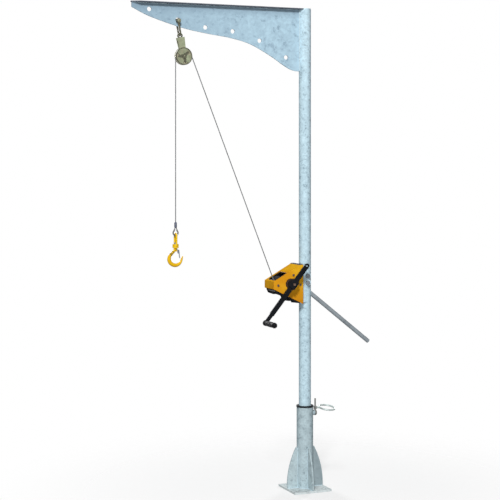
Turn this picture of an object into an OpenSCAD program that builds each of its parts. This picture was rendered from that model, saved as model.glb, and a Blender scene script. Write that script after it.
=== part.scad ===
// Davit crane: a column that slews in a bolted socket, a fixed jib, a geared hand
// winch, a rope over a sheave block and a swivelling safety hook.
// Millimetres. Z is up, Z = 0 is the underside of the base plate and the column stands
// on the Z axis. The jib points to -X, and the crank is on the -Y side.

/* [Base] */
// Side of the square base plate
base_side = 200; // [190:1:260]
// Thickness of the base plate
base_t = 10; // [8:1:16]
// Distance between neighbouring anchor holes
base_bolt_pitch = 140; // [130:1:150]
// Diameter of an anchor hole
base_bolt_d = 22; // [12:1:24]
// Height of the stiffening fins above the plate
fin_h = 200; // [120:1:260]
// Thickness of a fin
fin_t = 8; // [5:1:12]
// Distance of a fin's foot from the column axis
fin_foot_r = 97; // [80:1:97]
// Distance of a fin's top corner from the column axis
fin_top_r = 50; // [46:1:60]
// How far a fin's outer edge bulges from a straight line
fin_bulge = 14; // [4:1:18]
// Outer diameter of the socket tube
socket_d = 82.5; // [80:0.5:90]
// Wall of the socket tube
socket_wall = 6.3; // [4:0.1:7]
// Height of the socket tube's top above the floor
socket_top = 411; // [400:1:480]

/* [Column bearing] */
// Outer diameter of the upper bush's flange
bush_flange_d = 86; // [84:1:96]
// Thickness of the upper bush's flange
bush_flange_t = 7; // [3:1:12]
// Length of the upper bush inside the socket
bush_len = 20; // [10:1:20]
// Length of the lower bush
low_bush_len = 40; // [20:1:60]
// Height of the lower bush's bottom above the base plate
low_bush_lift = 14; // [8:1:40]
// Thickness of the thrust disc under the column
thrust_t = 6; // [4:1:10]

/* [Column] */
// Outer diameter of the column tube
column_d = 60.3; // [58:0.1:62]
// Wall of the column tube
column_wall = 5; // [3:0.1:8]
// Height of the column's top above the floor
column_top = 2400; // [2300:1:2600]
// Thickness of the disc that closes the column
cap_t = 4; // [3:1:8]

/* [Jib] */
// Reach of the jib's tip from the column axis
jib_reach = 912; // [900:1:960]
// Width of the jib's top flange
flange_w = 48; // [40:1:56]
// Thickness of the jib's top flange
flange_t = 6; // [4:1:10]
// Length of the flange's pointed end
flange_point = 42; // [30:1:60]
// Thickness of the jib's web
web_t = 6; // [5:1:8]
// Diameter of the holes along the web
jib_hole_d = 22; // [18:1:24]
// Distance from the column axis to the outermost hole
jib_hole_reach = 820; // [810:1:830]
// Distance between neighbouring holes along the jib
jib_hole_pitch = 143; // [138:1:144]

/* [Lock] */
// Height of the lock screw above the floor
lock_z = 378; // [370:1:380]
// Diameter of the lock screw
lock_screw_d = 16; // [12:1:16]
// Diameter of the boss that carries the lock screw
lock_boss_d = 26; // [24:1:30]
// Distance of the boss's end from the column axis
lock_boss_end = 52; // [48:1:56]
// Diameter of the lock screw's head
lock_head_d = 25; // [20:1:30]
// Length of the lock screw's head
lock_head_len = 9; // [9:1:14]
// Diameter of the lever bar through the head
lock_bar_d = 8; // [6:1:8]
// Length of the lever bar above the screw's axis
lock_bar_up = 70; // [60:1:90]
// Length of the lever bar below the screw's axis
lock_bar_down = 14; // [14:1:40]
// Height of the ring handle above the screw's axis
lock_ring_lift = 24; // [22:1:36]
// Radius of the ring handle's centre line
lock_ring_r = 40; // [30:1:50]
// Diameter of the ring handle's rod
lock_ring_rod = 8.6; // [6:0.2:10]

/* [Slewing handle] */
// Outer diameter of the slewing handle's tube
handle_d = 21.3; // [18:0.1:27]
// Wall of the slewing handle's tube
handle_wall = 2.6; // [1.5:0.1:4]
// Height at which the handle's axis meets the column's axis
handle_z = 1002; // [980:1:1010]
// Angle of the handle below the horizontal
handle_drop = 38.4; // [30:0.1:50]
// Length of the handle from the column axis
handle_len = 455; // [300:1:600]

/* [Winch frame] */
// Distance from the column axis to the drum shaft
drum_reach = 138; // [136:1:142]
// Height of the drum shaft
drum_z = 1026; // [1024:1:1028]
// Thickness of the bracket's front plate
bracket_t = 6; // [5:1:6]
// Thickness of the bracket's side legs
bracket_leg_t = 4; // [3:1:6]
// Height of the bracket
bracket_h = 164; // [150:1:180]
// Height of the lower of those bolts above the bracket's foot
bracket_bolt_low = 96; // [90:1:100]
// Distance between the two bolts through bracket and column
bracket_bolt_pitch = 34; // [30:1:40]
// Distance of a mounting screw from the bracket's end
mount_screw_inset = 22; // [18:1:26]
// Diameter of the two bolts through bracket and column
bracket_bolt_d = 12; // [8:1:14]
// Thickness of the winch's side plates and back plate
chassis_t = 4; // [3:1:5]
// Distance between the outer faces of the side plates
chassis_w = 108; // [106:1:116]
// Height of the cover's ridge above the drum shaft
cover_rise = 100; // [95:1:105]
// Depth of the cover's back corner below the drum shaft
cover_drop = 95; // [90:1:100]
// Thickness of the cover's sheet
cover_t = 2; // [1:0.5:3]
// Diameter of the tie bars between the side plates
tie_d = 10; // [8:1:12]

/* [Drum and gears] */
// Diameter of the bare drum
drum_d = 39.4; // [36:0.2:40]
// Diameter of the drum's flanges
drum_flange_d = 80; // [64:1:80]
// Thickness of a drum flange
drum_flange_t = 3; // [2:1:4]
// Width of the drum between its flanges
drum_w = 62; // [56:1:64]
// Diameter of the drum's shaft
drum_shaft_d = 16; // [12:1:20]
// Gear module
gear_module = 1.5; // [1.4:0.1:1.6]
// Teeth of the crank's pinion
pinion_teeth = 10; // [10:1:12]
// Teeth of the drum's gear
gear_teeth = 36; // [34:1:38]
// Face width of the drum's gear
gear_w = 12; // [8:1:13]
// Height of the crank shaft above the drum's shaft
crank_rise = 7; // [0:1:12]
// Number of ratchet teeth
ratchet_teeth = 20; // [14:1:24]
// Depth of a ratchet tooth
ratchet_depth = 4; // [3:0.5:5]
// Thickness of the ratchet wheel
ratchet_t = 5; // [4:1:8]

/* [Crank] */
// Diameter of the crank shaft
crank_shaft_d = 15; // [12:1:16]
// Diameter of the crank shaft's bearing housing
housing_d = 52; // [44:1:56]
// Projection of the housing beyond the side plate
housing_len = 10; // [6:1:14]
// Thickness of the brake disc
brake_t = 4; // [3:1:6]
// Diameter of the crank hub
hub_d = 44; // [36:1:48]
// Width of the crank arm's flat bar
arm_w = 24; // [20:1:30]
// Thickness of the crank arm
arm_t = 8; // [6:1:10]
// Width of the crank arm next to the grip
arm_end_w = 18; // [14:1:20]
// Length of the arm from the shaft to the grip
arm_len = 236; // [180:1:260]
// Length of the arm beyond the shaft
arm_tail = 126; // [110:1:140]
// Length of the wide part of the arm from the shaft
arm_wide_len = 186; // [170:1:200]
// Angle of the arm from the vertical
arm_angle = 39.3; // [0:0.1:90]
// Diameter of the grip
grip_d = 28; // [24:1:34]
// Length of the grip
grip_len = 115; // [90:1:130]
// Diameter of the grip's spindle
spindle_d = 10; // [8:1:12]

/* [Rope and block] */
// Diameter of the rope
rope_d = 5; // [4:0.5:5]
// Distance from the column axis to the sheave's axis
sheave_reach = 646; // [640:1:650]
// Distance of the sheave's axis below the column's top
sheave_drop = 256; // [250:1:270]
// Radius of the rope's centre line on the sheave
sheave_r = 40; // [36:1:44]
// Width of the sheave
sheave_w = 13; // [11:1:16]
// Diameter of the sheave's axle
axle_d = 12; // [10:1:14]
// Thickness of a block cheek
cheek_t = 3; // [2:1:5]
// Width of the cheeks' strap at its top
strap_w = 38; // [34:1:44]
// Diameter of the shackle's rod
shackle_d = 9; // [7:1:10]
// Diameter of the shackle's pin
shackle_pin_d = 12; // [10:1:14]
// Distance between the centre lines of the shackle's legs
shackle_w = 30; // [28:1:36]
// Distance from the pin to the bottom of the bow's centre line
shackle_len = 70; // [60:1:76]

/* [Hook] */
// Height of the ferrule's top above the floor
ferrule_top = 1346; // [1340:1:1400]
// Length of the ferrule
ferrule_len = 28; // [20:1:30]
// Diameter of the ferrule
ferrule_d = 13; // [12:0.5:16]
// Radius of the rope's centre line in the thimble
thimble_r = 13.5; // [13:0.5:16]
// Wall of the thimble
thimble_wall = 1.5; // [1:0.1:2]
// Diameter of the bail's rod
bail_rod = 9; // [7:0.5:9]
// Distance between the centre lines of the bail's legs
bail_w = 26; // [24:1:30]
// Height of the bail's straight legs above the swivel boss
bail_leg = 37; // [32:1:44]
// Diameter of the swivel boss
boss_d = 30; // [28:1:34]
// Height of the swivel boss
boss_h = 18; // [12:1:22]
// Diameter of the hook's shank
shank_d = 10; // [8:1:11]
// Radius of the hook's centre line around its throat
hook_r = 32; // [30:1:34]
// Length of the latch from its pin
latch_len = 37; // [34:1:38]
// Diameter of the latch's pin
latch_pin_d = 4; // [3:0.5:5]

/* [Hidden] */
$fn = 48;
// Radial clearance of a shaft in its bush, and gap between pieces that move apart
fit = 0.05;
gap = 0.3;
// Clearance of a bolt in its hole, and the small gap left between pieces that only touch
bolt_fit = 0.3;
seat = 0.1;

// Socket and column
socket_in_d = socket_d - 2 * socket_wall;
column_in_d = column_d - 2 * column_wall;
column_foot = base_t + thrust_t + gap;

// Jib: [distance from the column axis, drop below the column's top] along the web's
// lower edge, and the drop of each hole from the outermost inwards
web_tip = jib_reach - 4;
web_edge = [[web_tip, 29], [813, 72], [649, 120], [520, 143], [400, 160],
            [296, 187], [189, 241], [80, 306], [0, 314]];
hole_drop = [36, 82, 113, 127, 168, 246];
shackle_hole = 1;

// Lock: place of the lever bar, and the ring handle that is welded to its collar
lock_head_x = lock_boss_end + gap;
lock_bar_x = lock_head_x + lock_head_len / 2;
lock_collar_d = 2 * lock_bar_d;
lock_collar_h = 14;
lock_neck = 17;
lock_ring_x = lock_bar_x + lock_collar_d / 2 + lock_neck + lock_ring_r;
lock_ring_roll = 9;
lock_ring_droop = 4;

// Winch: the bracket bolted round the column, and the frame in front of it.
// Distances from the column axis are positive towards the jib's tip.
bracket_inner = column_d / 2 + 1;
bracket_front = bracket_inner + bracket_t;
bracket_leg_y = column_d / 2 + seat;
bracket_z = drum_z - 90;
bracket_strip = 8;
bracket_bolts_z = [bracket_z + bracket_bolt_low, bracket_z + bracket_bolt_low + bracket_bolt_pitch];
bolt_head_h = 7;
bolt_head_d = 22;
ear_r = 18;
frame_y = chassis_w / 2;
frame_in_y = frame_y - chassis_t;
back_front = bracket_front + chassis_t;
tie_places = [[drum_reach + 38, drum_z - 27], [62, drum_z + 74], [66, drum_z - 70]];
mount_screw_d = 8;
mount_screws_z = [bracket_z + mount_screw_inset, bracket_z + bracket_h - mount_screw_inset];
mount_screws = [for (y = [-20, 20], z = mount_screws_z) [y, z]];

// Cover corners, as distances from the column axis and heights
cover_back = bracket_front - 2;
cover_ridge = 50;
cover_nose = drum_reach + 57;
cover_top_z = drum_z + cover_rise;
cover_nose_top = drum_z + 20;
cover_nose_low = drum_z - 17;
cover_back_low = drum_z - cover_drop;
cover_y = frame_y + cover_t;
slot_u = [drum_reach - 16, drum_reach + 47];
slot_y = [-48, 32];
cover_screws_at = [[drum_reach + 33, drum_z + 1], [89, drum_z + 49], [51, drum_z + 1]];
cover_screw_d = 6;

// Side plate's outline as distances from the drum's axis
side_outline = [[bracket_front - drum_reach, -86], [bracket_front - drum_reach, 94],
                [46 - drum_reach, 94], [48, 17], [48, -26], [40, -42], [12, -52],
                [-16, -52], [-26, -60], [-40, -85], [-76, -90]];

// Gears: pitch radii, centre distance and tooth proportions
pinion_r = gear_module * pinion_teeth / 2;
gear_r = gear_module * gear_teeth / 2;
gear_centres = pinion_r + gear_r;
pinion_head = gear_module;
gear_head = 0.65 * gear_module;
root_clear = 0.25 * gear_module;
backlash = 0.3;
pressure_angle = 20;
crank_run = sqrt(gear_centres * gear_centres - crank_rise * crank_rise);
crank_reach = drum_reach - crank_run;
crank_z = drum_z + crank_rise;
mesh_angle = atan2(crank_rise, crank_run);
drum_y = drum_w / 2 + drum_flange_t;
gear_y = drum_y + 2;
bush_wall = 3;
bush_extra = 2;
spigot_d = 30;
housing_y = frame_y + housing_len;
brake_y = housing_y + gap;
hub_y = brake_y + brake_t;
hub_len = 18;
arm_in_y = hub_y + hub_len + gap;
arm_out_y = arm_in_y + arm_t;
hub_box = [36, 44];
hub_lip = 5;
arm_screw_d = 8;
grip_y = arm_out_y + gap;
grip_bore = grip_len - 12;

// Pawl: pivot and tip in polar form about the drum's axis
pawl_r = 58;
pawl_a = -25;
pawl_tip_r = drum_flange_d / 2 + 0.5;
pawl_tip_a = 10;
pawl_pivot = [drum_reach - pawl_r * cos(pawl_a), drum_z + pawl_r * sin(pawl_a)];
pawl_tip = [drum_reach - pawl_tip_r * cos(pawl_tip_a), drum_z + pawl_tip_r * sin(pawl_tip_a)];
pawl_pin_d = 8;
pawl_t = 4;
pawl_y = drum_y + 0.5;

// Rope: it leaves the drum, crosses to the far side of the sheave and hangs from there
rope_r = rope_d / 2;
winding_r = drum_d / 2 + rope_r + seat;
sheave_z = column_top - sheave_drop;
centres = [sheave_reach - drum_reach, sheave_z - drum_z];
centres_len = norm(centres);
lead_angle = atan2(centres[0], centres[1]) - asin((winding_r + sheave_r) / centres_len);
lead_start = 17;
winding_loops = 5;
winding_pitch = rope_d + 0.5;
hook_u = sheave_reach + sheave_r;

// Block: it hangs from the shackle's pin and halves the angle of the rope
pin_u = jib_hole_reach - shackle_hole * jib_hole_pitch;
pin_z = column_top - hole_drop[shackle_hole] - (jib_hole_d - shackle_pin_d) / 2 + seat;
block_tilt = atan((pin_u - sheave_reach) / (pin_z - sheave_z));
block_len = norm([pin_u - sheave_reach, pin_z - sheave_z]);
shackle_ear = 10;
shackle_ear_d = 22;
sheave_rim = sheave_r + rope_r;
cheek_y = sheave_w / 2 + 0.5;
eye_hole_r = 7;
eye_r = 13;
eye_t = 8;
bow_in_r = (shackle_w - shackle_d) / 2;
eye_z = shackle_w / 2 - shackle_len + seat - eye_hole_r
    - sqrt(bow_in_r * bow_in_r - eye_t * eye_t / 4);
head_top = eye_z - eye_r - 1;
head_h = 16;
head_w = 30;
eye_shank_r = 4.5;
cross_pin_r = 3;

// Hook: heights from the ferrule down
loop_top = ferrule_top - ferrule_len;
loop_drop = 24;
loop_z = loop_top - loop_drop;
thimble_in_r = thimble_r - rope_r - thimble_wall;
thimble_w = rope_d + 2 * thimble_wall;
bail_in_r = (bail_w - bail_rod) / 2;
bail_arch_z = loop_z - thimble_in_r + seat
    - sqrt(bail_in_r * bail_in_r - thimble_w * thimble_w / 4);
boss_top = bail_arch_z - bail_leg;
boss_low = boss_top - boss_h;
throat_z = boss_low - hook_r - 19;
latch_u = 12;
latch_z = boss_low - 14;
latch_lean = 6;
// [angle about the throat, distance beyond hook_r, half width] along the hook
hook_stations = [[90, 18.5, 8], [94, 11, 7.5], [109, 2, 6.5], [133, -1.5, 6.5], [156, 0, 7.5],
                 [178, 1, 9], [203, 1.5, 9.5], [232, 1, 9.5], [270, 0.5, 9], [302, 0, 7.5],
                 [333, -0.5, 5.5], [358, 0, 4.5], [375, 6, 2]];

zinc = "#aab9c4";
yellow = "#e0a51c";
olive = "#8c8a63";
steel = "#8d9296";

// Points of a smooth curve through a list of points, with n steps between neighbours
function curve_at(a, b, c, d, t) = 0.5 * (2 * b + (c - a) * t
    + (2 * a - 5 * b + 4 * c - d) * t * t + (3 * b - a - 3 * c + d) * t * t * t);
function smooth(p, n) = let (last = len(p) - 1) concat(
    [for (i = [0 : last - 1], k = [0 : n - 1])
        curve_at(p[max(i - 1, 0)], p[i], p[i + 1], p[min(i + 2, last)], k / n)],
    [p[last]]);

// Triangles of a tube of rings, with a fan at each end
function tube_faces(rings, sides) = concat(
    [for (j = [1 : sides - 2]) [0, j + 1, j]],
    [for (j = [1 : sides - 2]) let (e = (rings - 1) * sides) [e, e + j, e + j + 1]],
    [for (i = [0 : rings - 2], j = [0 : sides - 1]) let (a = i * sides + j,
        b = i * sides + (j + 1) % sides) [a, b, b + sides]],
    [for (i = [0 : rings - 2], j = [0 : sides - 1]) let (a = i * sides + j,
        b = i * sides + (j + 1) % sides) [a, b + sides, a + sides]]);

module tube(d, d_in, h) {
    difference() {
        cylinder(d = d, h = h);
        translate([0, 0, -1]) cylinder(d = d_in, h = h + 2);
    }
}

// A cylinder along Y from y1 to y2, at a distance u from the column axis and height z
module pin_y(u, z, r, y1, y2) {
    translate([-u, y2, z]) rotate([90, 0, 0]) cylinder(r = r, h = y2 - y1);
}

// An outline of [distance from the column axis, height] points, thick from y1 to y2
module plate_y(outline, y1, y2) {
    translate([0, y2, 0]) rotate([90, 0, 0]) linear_extrude(height = y2 - y1)
        polygon([for (p = outline) [-p[0], p[1]]]);
}

module hex_y(u, z, across, y1, y2) {
    translate([-u, y2, z]) rotate([90, 0, 0])
        cylinder(d = across / cos(30), h = y2 - y1, $fn = 6);
}

module base_plate() {
    color(zinc) difference() {
        translate([-base_side / 2, -base_side / 2, 0]) cube([base_side, base_side, base_t]);
        for (x = [-1, 1], y = [-1, 1])
            translate([x * base_bolt_pitch / 2, y * base_bolt_pitch / 2, -1])
                cylinder(d = base_bolt_d, h = base_t + 2);
    }
}

// Outer edge of a fin at the share t of its height: a chord with a parabolic bulge
function fin_edge(t) = [fin_foot_r + (fin_top_r - fin_foot_r) * t + 4 * fin_bulge * t * (1 - t),
                        base_t + fin_h * t];

module base_fins() {
    inner = socket_in_d / 2;
    edge = [for (i = [0 : 12]) fin_edge(i / 12)];
    color(zinc) difference() {
        for (turn = [0 : 90 : 270]) rotate([0, 0, turn])
            translate([0, fin_t / 2, 0]) rotate([90, 0, 0]) linear_extrude(height = fin_t)
                polygon(concat([[inner, base_t]], edge, [[inner, base_t + fin_h]]));
        cylinder(d = socket_d, h = base_t + fin_h + 1);
    }
}

module lock_bore(r, x1, x2) {
    translate([x1, 0, lock_z]) rotate([0, 90, 0]) cylinder(r = r, h = x2 - x1);
}

module socket_tube() {
    color(zinc) difference() {
        translate([0, 0, base_t]) tube(socket_d, socket_in_d, socket_top - base_t);
        lock_bore(lock_screw_d / 2 + fit, 0, socket_d);
    }
}

module lock_boss() {
    color(zinc) difference() {
        lock_bore(lock_boss_d / 2, 0, lock_boss_end);
        cylinder(d = socket_d, h = socket_top);
        lock_bore(lock_screw_d / 2 + fit, 0, socket_d);
    }
}

module lower_bush() {
    color("#22262a") translate([0, 0, base_t + low_bush_lift])
        tube(socket_in_d, column_d + 2 * fit, low_bush_len);
}

module upper_bush() {
    color("#22262a") difference() {
        union() {
            translate([0, 0, socket_top - bush_len]) cylinder(d = socket_in_d, h = bush_len);
            translate([0, 0, socket_top]) cylinder(d = bush_flange_d, h = bush_flange_t);
        }
        cylinder(d = column_d + 2 * fit, h = socket_top + bush_flange_t + 1);
    }
}

module thrust_disc() {
    color("#3a3a36") translate([0, 0, base_t]) tube(socket_in_d, column_in_d / 2, thrust_t);
}

module lock_screw() {
    color(steel) difference() {
        union() {
            lock_bore(lock_screw_d / 2, column_d / 2 + gap, lock_head_x);
            lock_bore(lock_head_d / 2, lock_head_x, lock_head_x + lock_head_len);
        }
        translate([lock_bar_x, 0, 0]) cylinder(d = lock_bar_d, h = socket_top);
    }
}

module lock_bar() {
    color(steel) {
        translate([lock_bar_x, 0, lock_z - lock_bar_down])
            cylinder(d = lock_bar_d, h = lock_bar_down + lock_bar_up);
        translate([lock_bar_x, 0, lock_z + lock_ring_lift - lock_collar_h / 2])
            cylinder(d = lock_collar_d, h = lock_collar_h);
    }
}

module lock_ring() {
    rod = lock_ring_rod / 2;
    color(zinc) difference() {
        translate([lock_bar_x, 0, lock_z + lock_ring_lift])
            rotate([lock_ring_roll, lock_ring_droop, 0]) {
                translate([lock_ring_x - lock_bar_x, 0, 0])
                    rotate_extrude() translate([lock_ring_r, 0]) circle(r = rod);
                rotate([0, 90, 0]) cylinder(r = rod, h = lock_collar_d / 2 + lock_neck);
            }
        translate([lock_bar_x, 0, lock_z]) cylinder(d = lock_collar_d, h = socket_top);
    }
}

module column_tube() {
    color(zinc) difference() {
        translate([0, 0, column_foot]) tube(column_d, column_in_d, column_top - column_foot);
        for (z = bracket_bolts_z) pin_y(0, z, bracket_bolt_d / 2 + bolt_fit, -column_d, column_d);
    }
}

module column_cap() {
    color(zinc) translate([0, 0, column_top - cap_t]) cylinder(d = column_in_d, h = cap_t);
}

module jib_web() {
    edge = smooth(web_edge, 6);
    top = column_top - flange_t;
    outline = concat([for (p = edge) [p[0], column_top - p[1]]], [[0, top], [web_tip, top]]);
    color(zinc) difference() {
        plate_y(outline, -web_t / 2, web_t / 2);
        translate([0, 0, socket_top]) cylinder(d = column_d, h = column_top);
        for (i = [0 : len(hole_drop) - 1])
            pin_y(jib_hole_reach - i * jib_hole_pitch, column_top - hole_drop[i],
                  jib_hole_d / 2, -web_t, web_t);
    }
}

module jib_flange() {
    wide = flange_w / 2;
    blunt = web_t / 2;
    corner = jib_reach - flange_point;
    color(zinc) difference() {
        translate([0, 0, column_top - flange_t]) linear_extrude(height = flange_t)
            polygon([[0, -wide], [-corner, -wide], [-jib_reach, -blunt],
                     [-jib_reach, blunt], [-corner, wide], [0, wide]]);
        translate([0, 0, socket_top]) cylinder(d = column_d, h = column_top);
    }
}

module slewing_handle() {
    color(zinc) difference() {
        translate([0, 0, handle_z]) rotate([0, 90 + handle_drop, 0]) difference() {
            cylinder(d = handle_d, h = handle_len);
            translate([0, 0, -1]) cylinder(d = handle_d - 2 * handle_wall, h = handle_len + 2);
        }
        cylinder(d = column_d, h = handle_z + column_d);
    }
}

module winch_bracket() {
    low = bracket_bolts_z[0];
    high = bracket_bolts_z[1];
    outer_y = bracket_leg_y + bracket_leg_t;
    leg = [[bracket_front, bracket_z], [bracket_front, bracket_z + bracket_h],
           [bracket_strip, bracket_z + bracket_h], [bracket_strip, bracket_z]];
    plate = [[bracket_front, bracket_z], [bracket_front, bracket_z + bracket_h],
             [bracket_inner, bracket_z + bracket_h], [bracket_inner, bracket_z]];
    ear = [[bracket_strip, low - ear_r], [bracket_strip, high + ear_r],
           [0, high + ear_r], [0, low - ear_r]];
    color(zinc) difference() {
        union() {
            plate_y(plate, -outer_y, outer_y);
            for (y = [-outer_y, bracket_leg_y]) {
                plate_y(leg, y, y + bracket_leg_t);
                plate_y(ear, y, y + bracket_leg_t);
                for (z = bracket_bolts_z) pin_y(0, z, ear_r, y, y + bracket_leg_t);
            }
        }
        for (z = bracket_bolts_z)
            pin_y(0, z, bracket_bolt_d / 2 + bolt_fit, -2 * outer_y, 2 * outer_y);
        for (s = mount_screws) translate([-bracket_front - 1, s[0], s[1]])
            rotate([0, 90, 0]) cylinder(d = mount_screw_d, h = bracket_t + 2);
    }
}

module bracket_bolts() {
    outer_y = bracket_leg_y + bracket_leg_t;
    color(steel) for (z = bracket_bolts_z) {
        pin_y(0, z, bracket_bolt_d / 2, -outer_y, outer_y + bolt_head_h + 3);
        pin_y(0, z, bolt_head_d / 2, -outer_y - bolt_head_h, -outer_y);
        difference() {
            hex_y(0, z, bolt_head_d - 3, outer_y, outer_y + bolt_head_h);
            pin_y(0, z, bracket_bolt_d / 2 - seat, outer_y - 1, outer_y + bolt_head_h + 1);
        }
    }
}

module winch_back() {
    outline = [[bracket_front, bracket_z + 4], [bracket_front, drum_z + 94],
               [back_front, drum_z + 94], [back_front, bracket_z + 4]];
    color("#26282b") difference() {
        plate_y(outline, -frame_in_y, frame_in_y);
        for (s = mount_screws) translate([-back_front - 1, s[0], s[1]])
            rotate([0, 90, 0]) cylinder(d = mount_screw_d + bolt_fit, h = chassis_t + 2);
    }
}

module mounting_screws() {
    color(steel) for (s = mount_screws) translate([-back_front, s[0], s[1]]) {
        rotate([0, 90, 0]) cylinder(d = mount_screw_d, h = chassis_t + bracket_t);
        rotate([0, -90, 0]) cylinder(d = 2 * mount_screw_d / cos(30), h = 5, $fn = 6);
    }
}

module side_plate(y1, y2, bearing_r, bearing_at) {
    outline = [for (p = side_outline) [drum_reach + p[0], drum_z + p[1]]];
    color("#26282b") difference() {
        plate_y(outline, y1, y2);
        pin_y(bearing_at[0], bearing_at[1], bearing_r, y1 - 1, y2 + 1);
        pin_y(drum_reach, drum_z, drum_shaft_d / 2 + bush_wall, y1 - 1, y2 + 1);
        for (s = cover_screws_at) pin_y(s[0], s[1], cover_screw_d / 2, y1 - 1, y2 + 1);
    }
}

module winch_side_near() {
    side_plate(-frame_y, -frame_in_y, spigot_d / 2, [crank_reach, crank_z]);
}

module winch_side_far() {
    side_plate(frame_in_y, frame_y, pawl_pin_d / 2, pawl_pivot);
}

module winch_ties() {
    color(steel) for (p = tie_places) pin_y(p[0], p[1], tie_d / 2, -frame_in_y, frame_in_y);
}

module cover_slot() {
    corner = 6;
    size = [slot_u[1] - slot_u[0], slot_y[1] - slot_y[0]];
    translate([-slot_u[1], slot_y[0], cover_nose_low]) {
        translate([corner, 0, 0]) cube([size[0] - 2 * corner, size[1], cover_top_z - drum_z]);
        translate([0, corner, 0]) cube([size[0], size[1] - 2 * corner, cover_top_z - drum_z]);
        for (x = [corner, size[0] - corner], y = [corner, size[1] - corner])
            translate([x, y, 0]) cylinder(r = corner, h = cover_top_z - drum_z);
    }
}

module winch_cover() {
    slope = atan2(cover_top_z - cover_nose_top, cover_nose - cover_ridge);
    inner_nose = cover_nose - cover_t;
    inner_top = cover_top_z - cover_t;
    outer = [[cover_back, cover_back_low], [cover_back, cover_top_z], [cover_ridge, cover_top_z],
             [cover_nose, cover_nose_top], [cover_nose, cover_nose_low]];
    inner = [[cover_back - 1, cover_back_low - 1], [cover_back - 1, inner_top],
             [cover_ridge - cover_t * tan(slope / 2), inner_top],
             [inner_nose, cover_nose_top + cover_t * (tan(slope) - 1 / cos(slope))],
             [inner_nose, cover_back_low - 1]];
    color(yellow) difference() {
        plate_y(outer, -cover_y, cover_y);
        plate_y(inner, -frame_y, frame_y);
        cover_slot();
        pin_y(crank_reach, crank_z, housing_d / 2 + bolt_fit, -cover_y - 1, 0);
        for (s = cover_screws_at) pin_y(s[0], s[1], cover_screw_d / 2, -2 * cover_y, 2 * cover_y);
    }
}

module cover_screws() {
    color(steel) for (s = cover_screws_at) {
        pin_y(s[0], s[1], cover_screw_d / 2, -cover_y, -frame_in_y);
        pin_y(s[0], s[1], cover_screw_d, -cover_y - cover_screw_d / 2, -cover_y);
        pin_y(s[0], s[1], cover_screw_d / 2, frame_in_y, cover_y);
        pin_y(s[0], s[1], cover_screw_d, cover_y, cover_y + cover_screw_d / 2);
    }
}

module bush_y(u, z, d, y1, y2) {
    difference() {
        pin_y(u, z, d / 2 + bush_wall, y1, y2);
        pin_y(u, z, d / 2 + fit, y1 - 1, y2 + 1);
    }
}

module shaft_bushes() {
    color("#b08a45") {
        bush_y(drum_reach, drum_z, drum_shaft_d, -frame_y, -frame_in_y + bush_extra);
        bush_y(drum_reach, drum_z, drum_shaft_d, frame_in_y - bush_extra, frame_y);
        bush_y(crank_reach, crank_z, crank_shaft_d, -housing_y, -frame_in_y);
    }
}

module crank_housing() {
    color("#26282b") difference() {
        union() {
            pin_y(crank_reach, crank_z, housing_d / 2, -housing_y, -frame_y);
            pin_y(crank_reach, crank_z, spigot_d / 2, -frame_y, -frame_in_y);
        }
        pin_y(crank_reach, crank_z, crank_shaft_d / 2 + bush_wall, -housing_y - 1, 0);
    }
}

module drum() {
    half = drum_w / 2;
    color(steel) difference() {
        union() {
            pin_y(drum_reach, drum_z, drum_d / 2, -half, half);
            pin_y(drum_reach, drum_z, drum_flange_d / 2, -drum_y, -half);
            pin_y(drum_reach, drum_z, drum_flange_d / 2, half, drum_y);
        }
        pin_y(drum_reach, drum_z, drum_shaft_d / 2, -drum_y - 1, drum_y + 1);
    }
}

module drum_shaft() {
    color(steel) pin_y(drum_reach, drum_z, drum_shaft_d / 2, 1 - frame_y, frame_y - 1);
}

// Involute gear: half the angle that a tooth takes up at radius r
function involute(base_r, r) = let (a = acos(min(1, base_r / r))) tan(a) * 180 / PI - a;
function tooth_half(teeth, r) = let (pitch_r = gear_module * teeth / 2,
    base_r = pitch_r * cos(pressure_angle))
    90 / teeth - backlash / 4 / pitch_r * 180 / PI + involute(base_r, pitch_r)
    - involute(base_r, max(r, base_r));

module gear_y(u, z, teeth, head, foot, turn, y1, y2) {
    pitch_r = gear_module * teeth / 2;
    root_r = pitch_r - foot;
    low_r = max(root_r, pitch_r * cos(pressure_angle));
    steps = [0 : 3];
    radii = concat([root_r], [for (k = steps) low_r + (pitch_r + head - low_r) * k / 3]);
    last = len(radii) - 1;
    outline = [for (i = [0 : teeth - 1], k = [-last - 1 : last])
        let (r = radii[k < 0 ? k + last + 1 : last - k],
             a = turn + i * 360 / teeth + (k < 0 ? -1 : 1) * tooth_half(teeth, r))
        [r * cos(a), r * sin(a)]];
    translate([-u, y2, z]) rotate([90, 0, 0]) linear_extrude(height = y2 - y1) polygon(outline);
}

module drum_gear() {
    color(steel) difference() {
        gear_y(drum_reach, drum_z, gear_teeth, gear_head, pinion_head + root_clear, mesh_angle,
               -gear_y - gear_w, -gear_y);
        pin_y(drum_reach, drum_z, drum_shaft_d / 2, -frame_y, 0);
    }
}

module crank_shaft() {
    color(steel) {
        gear_y(crank_reach, crank_z, pinion_teeth, pinion_head, gear_head + root_clear,
               mesh_angle + 180 + 180 / pinion_teeth, -gear_y - gear_w, -gear_y);
        pin_y(crank_reach, crank_z, crank_shaft_d / 2, -hub_y - hub_len, -gear_y - gear_w);
    }
}

module ratchet_wheel() {
    step = 360 / ratchet_teeth;
    tip = drum_flange_d / 2;
    outline = [for (i = [0 : ratchet_teeth - 1], top = [0, 1])
        let (a = pawl_tip_a + step * (i + 0.2) + top, r = tip - (1 - top) * ratchet_depth)
        [r * cos(a), r * sin(a)]];
    color(steel) difference() {
        translate([-drum_reach, drum_y + ratchet_t, drum_z]) rotate([90, 0, 0])
            linear_extrude(height = ratchet_t) polygon(outline);
        pin_y(drum_reach, drum_z, drum_shaft_d / 2, 0, frame_y);
    }
}

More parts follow.
